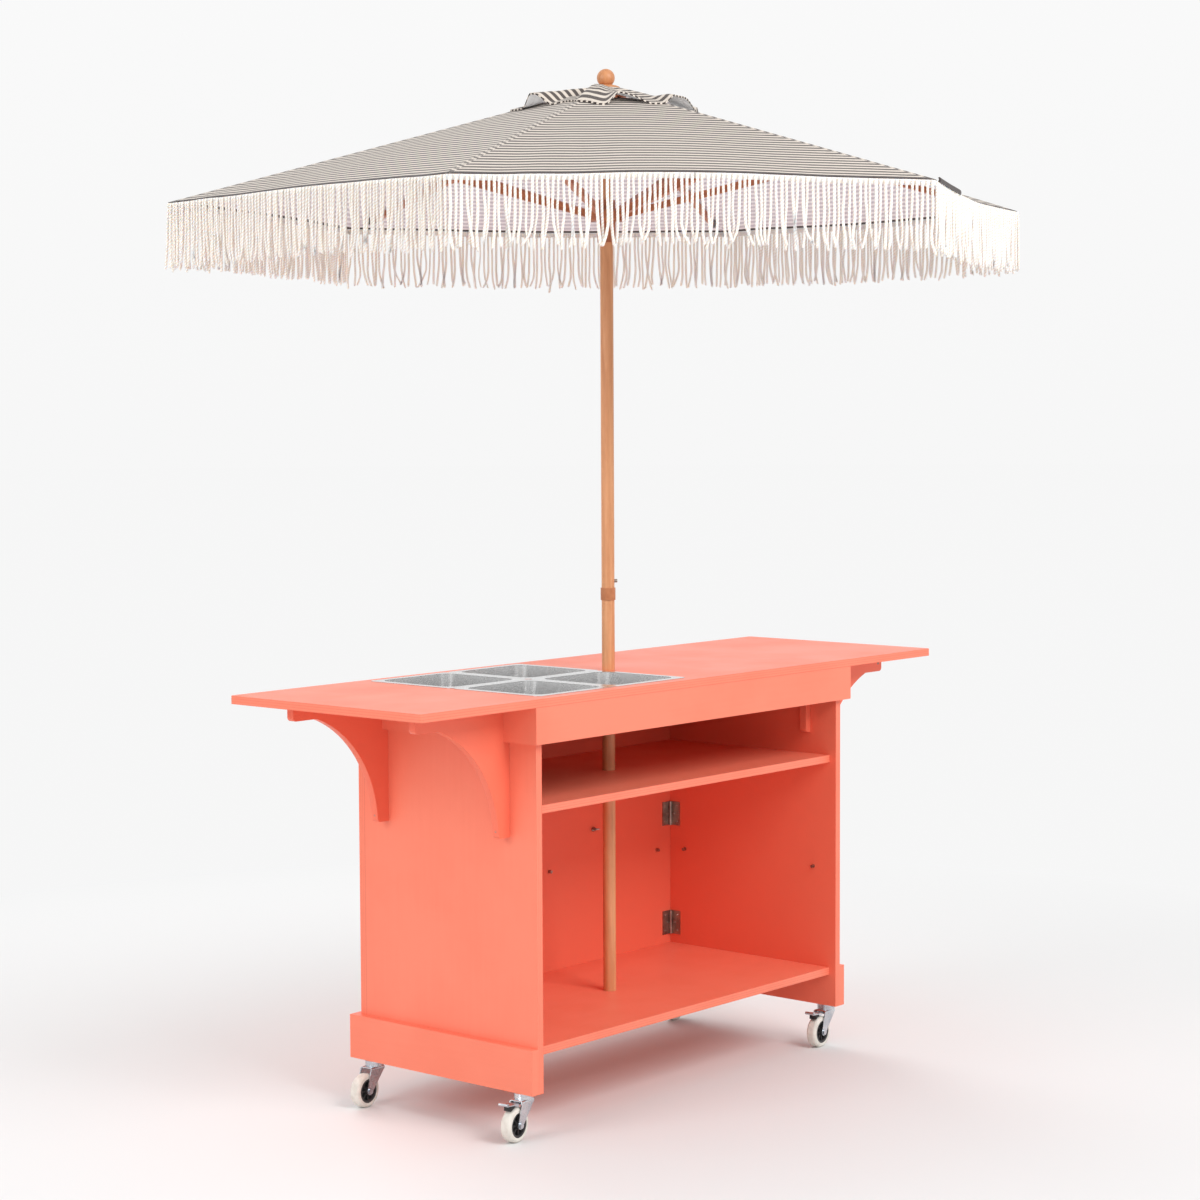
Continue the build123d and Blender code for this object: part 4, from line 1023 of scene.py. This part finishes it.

# %% [markdown]
# ## The fringe
# Twisted cotton strands hang over a narrow header along the hem, side by side below its dark band. A hair
# system could grow them, but it leaves no mesh to keep. So one strand is modelled once: a five-sided tube with
# a few rings and a map that carries its twist. Each copy has its own sway, length and curl from a fixed seed,
# and neighbours lean together or apart in pairs. The header folds with its kite. The strands of each half edge
# are five tufts on the fringe body of the rib, which stays upright as the rib folds. A dark tie strap lies
# beside one corner.

# %% Cotton
# The last cotton colour on the next line is painted shade, for the grooves of the twist and of the braid.
COTTON, COTTON_DIM, COTTON_PAINTED_SHADE = paint(255, 251, 246), paint(252, 246, 238), paint(240, 218, 202)
COTTON_ROUGH = 0.85
TONES, TONE_STEP = 6, 4
PLY_TURN, BRAID_RIB = 0.0140, 0.0054


def cotton_finish(name):
    """Starts a soft cotton finish that lets a little light through."""
    material, tree, shader = new_finish(
        name, Sheen_Weight=0.2, Specular_IOR_Level=0.15,
        Subsurface_Weight=0.7, Subsurface_Scale=0.007, Subsurface_Radius=(1.0, 0.85, 0.7),
    )
    place = split(add(tree, "UVMap", uv_map="cloth").outputs["UV"])
    fuzz = speckle(object_place(tree), scale=1100.0, detail=3.0)
    return material, shader, place, fuzz


def twisted_cotton():
    """Two-ply twist on the strand's map: around in turns, with a step for its tone, and along in metres."""
    material, shader, place, fuzz = cotton_finish("fringe_cotton")
    own = maths("FLOOR", maths("DIVIDE", plus(place["X"], 1.0), TONE_STEP))
    plain = mix(maths("DIVIDE", own, TONES - 1.0), COTTON, COTTON_DIM)
    lay = plus(place["X"], maths("DIVIDE", place["Y"], PLY_TURN))
    ply = wave(lay, 2 * math.tau)
    frayed = spread(fuzz, NOISE_SPAN, (-0.15, 0.15))
    groove = plus(spread(ply, (-0.9, 0.0), (1.0, 0.0)), frayed, clamp=True)
    # Painted shade: the grooves between the two plies are mixed towards the darker, warmer cotton.
    tone = mix(times(groove, 0.85), plain, COTTON_PAINTED_SHADE)
    height = plus(spread(ply, (-1.0, 1.0)), times(fuzz, 0.35))
    wire(shader, tone, COTTON_ROUGH, height, depth=0.0014, strength=0.6)
    return material


def braided_cotton():
    """Header: upright ribs, two to a strand."""
    material, shader, place, fuzz = cotton_finish("header_braid")
    rib = wave(place["X"], math.tau / BRAID_RIB)
    groove = spread(rib, (-1.0, 0.0), (1.0, 0.0))
    # Painted shade: the grooves between the header's ribs are mixed towards the darker cotton.
    tone = mix(times(groove, 0.6), COTTON, COTTON_PAINTED_SHADE)
    height = plus(spread(rib, (-1.0, 1.0)), times(fuzz, 0.3))
    wire(shader, tone, COTTON_ROUGH, height, depth=0.0012, strength=0.8)
    return material


cotton, braid = twisted_cotton(), braided_cotton()
print("finishes", len(bpy.data.materials))

# %% One strand
STRAND_LENGTH, STRAND_RADIUS, STRAND_SIDES = 0.1410, 0.0031, 5
SHOULDER, TIP, RINGS = 0.0028, 0.0030, 7
RING_TURN = math.radians(36)
ROOT_WIDTH, TIP_WIDTH = 0.5, 0.6
drops = [SHOULDER, *[(STRAND_LENGTH - SHOULDER - TIP) / RINGS] * RINGS, TIP]
widths = [1 / ROOT_WIDTH, *[1.0] * RINGS, TIP_WIDTH]

bm = bmesh.new()
bmesh.ops.create_circle(bm, cap_ends=True, segments=STRAND_SIDES, radius=STRAND_RADIUS)
edges = bm.edges[:]
bmesh.ops.scale(bm, verts=bm.verts, vec=(ROOT_WIDTH, ROOT_WIDTH, 1.0))
for drop, width in zip(drops, widths):
    grown = bmesh.ops.extrude_edge_only(bm, edges=edges)["geom"]
    ring = [item for item in grown if isinstance(item, bmesh.types.BMVert)]
    edges = [item for item in grown if isinstance(item, bmesh.types.BMEdge)]
    bmesh.ops.translate(bm, verts=ring, vec=(0, 0, -drop))
    bmesh.ops.rotate(bm, verts=ring, cent=(0, 0, 0), matrix=Matrix.Rotation(RING_TURN, 3, "Z"))
    bmesh.ops.scale(bm, verts=ring, vec=(width, width, 1.0))
bmesh.ops.contextual_create(bm, geom=edges)
bmesh.ops.recalc_face_normals(bm, faces=bm.faces)
cloth = bm.loops.layers.uv.new("cloth")
for face in bm.faces:
    turns = [math.atan2(loop.vert.co.y, loop.vert.co.x) / math.tau for loop in face.loops]
    for loop, turn in zip(face.loops, turns):
        wrap = turn + 1 if max(turns) - turn > 0.5 else turn
        loop[cloth].uv = (wrap, -loop.vert.co.z)
strand_mesh = close_mesh(bm, "strand")
print("strand faces", len(strand_mesh.polygons))

# %% Bands along the hem
HEM_GAP = 0.0004
BAND_ROWS, BAND_CLOTH, BAND_MAP = 6, 0.0030, 0.0075


def hem_point(turn, side, share):
    """Hem of the canopy's underside from the corner (0) to the middle of the edge (1)."""
    return canopy_point(turn, 1.0, side * share) - Vector((0, 0, CLOTH + HEM_GAP))


def hem_band(turn, side, start, end, rise, drop, stand, bulge, steps):
    """Band that stands outside the hem between two shares of it, from a rise down by a drop."""
    out = around(turn + side * HALF_GORE, 1.0, 0.0)

    def share(across):
        return start + (end - start) * (across + 1) / 2

    def on_band(turn, along, across):
        shift = out * (stand + bulge * math.sin(math.pi * along))
        return hem_point(turn, side, share(across)) + shift + Vector((0, 0, rise - drop * along))

    def band_map(turn, along, across):
        return share(across) * HEM_RADIUS / 2, along * BAND_MAP

    bm = sheet_grid((steps, BAND_ROWS), turn, on_band, band_map, out)
    bmesh.ops.solidify(bm, geom=bm.faces[:], thickness=BAND_CLOTH)
    bmesh.ops.recalc_face_normals(bm, faces=bm.faces)
    return bm


# %% Hanging strands
LENGTH_SWAY, THICK_SWAY = 0.028, 0.08
DRIFT_SWAY, SWING_SWAY, BOW_SWAY, CURL_SWAY = 0.0028, 0.0034, 0.0034, 0.0060
BEATS, PITCHES = (5.0, 8.5), (0.8, 1.25)
LOOSE_START, LOOSE_POWER = 0.12, 1.6
HOOK_START, HOOK_REACH = 0.70, 0.30
DEEP_BOW, DEEP_BEAT = 0.6, 4.0
sway = random.Random(7)


def hang_strand(bm, root, run, out, lean):
    """Adds one strand under a root, with its own length, sway and curl."""
    before, faces = len(bm.verts), len(bm.faces)
    bm.from_mesh(strand_mesh)
    bm.verts.ensure_lookup_table()
    bm.faces.ensure_lookup_table()
    stretched = 1.0 + sway.gauss(0, LENGTH_SWAY)
    drift, swing = lean + sway.gauss(0, DRIFT_SWAY), sway.gauss(0, SWING_SWAY)
    bow, phase, beat = sway.gauss(0, BOW_SWAY), sway.uniform(0, math.tau), sway.uniform(*BEATS)
    curl = sway.gauss(0, CURL_SWAY)
    thick = 1.0 + sway.gauss(0, THICK_SWAY)
    spin = Matrix.Rotation(sway.uniform(0, math.tau), 3, "Z")
    tone, pitch = TONE_STEP * sway.randrange(TONES), sway.uniform(*PITCHES)
    cloth = bm.loops.layers.uv.active
    for face in bm.faces[faces:]:
        for loop in face.loops:
            around_turn, along = loop[cloth].uv
            loop[cloth].uv = (around_turn + tone, along * pitch)
    for vert in bm.verts[before:]:
        fall = -vert.co.z / STRAND_LENGTH
        loose = max(fall - LOOSE_START, 0.0)
        hook = max(fall - HOOK_START, 0.0) / HOOK_REACH
        side = drift * loose**LOOSE_POWER + bow * math.sin(phase + beat * fall) * loose + curl * hook * hook
        deep = swing * loose + bow * DEEP_BOW * math.cos(phase + DEEP_BEAT * fall) * loose
        flat = spin @ Vector((vert.co.x, vert.co.y, 0)) * thick
        vert.co = root + flat + run * side + out * deep - Vector((0, 0, fall * STRAND_LENGTH * stretched))


# %% Tufts of half an edge
STRANDS_PER_HALF = 46
LEAN_SWAY, PLACE_SWAY = 0.0042, 0.12
ROOT_STANDS, ROOT_DROP = (0.0028, 0.0044), 0.0006
TUFTS, TUFT_KEEP = 5, 0.6


def hang_tufts(number, turn, side, label):
    """Hangs the strands of half an edge, tuft by tuft from the corner to the middle."""
    corner, middle = hem_point(turn, side, 0.0), hem_point(turn, side, 1.0)
    run = (middle - corner).normalized()
    out = around(turn + side * HALF_GORE, 1.0, 0.0)
    tufts = [bmesh.new() for _ in range(TUFTS)]
    for bm in tufts:
        bm.loops.layers.uv.new("cloth")
    for step in range(STRANDS_PER_HALF):
        lean = -lean if step % 2 else sway.gauss(0, LEAN_SWAY)
        share = (step + 0.5 + sway.uniform(-PLACE_SWAY, PLACE_SWAY)) / STRANDS_PER_HALF
        root = hem_point(turn, side, share) + out * ROOT_STANDS[step % 2] - Vector((0, 0, ROOT_DROP))
        hang_strand(tufts[step * TUFTS // STRANDS_PER_HALF], root, run, out, lean)
    hung = []
    for tuft, bm in enumerate(tufts):
        strands = finish_mesh(bm, f"strands_{number}_{label}_{tuft + 1}", f"fringe_{number}", cotton)
        root = hem_point(turn, side, (tuft + 0.5) / TUFTS)
        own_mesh(strands)
        hung.append(strands)
    return hung


# %% Header, strands and strap of each kite
HEADER = {"start": 0.0, "end": 1.0, "rise": 0.0, "drop": 0.012, "stand": 0.0004, "bulge": 0.0012, "steps": 30}
STRAP = {"start": 0.03, "end": 0.60, "rise": 0.007, "drop": 0.011, "stand": 0.007, "bulge": 0.002, "steps": 24}
STRAP_RIB = 5

for number, turn in enumerate(RIB_TURNS, 1):
    pieces = []
    for side, label in ((1, "left"), (-1, "right")):
        band = hem_band(turn, side, **HEADER)
        header = finish_mesh(band, f"header_{number}_{label}", f"rib_{number}", braid)
        fringe = [header, *hang_tufts(number, turn, side, label)]
        for piece in fringe:
            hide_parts(f"fringe_{number}")
        gather_kite(header)
        pieces += fringe
        if number == STRAP_RIB and side == 1:
            strap = finish_mesh(hem_band(turn, side, **STRAP), "tie_strap", f"rib_{number}", canopy_top)
            gather_kite(strap)
            pieces.append(strap)
    kite, cut = kites[number - 1]
print("strands", 2 * len(RIB_TURNS) * STRANDS_PER_HALF)
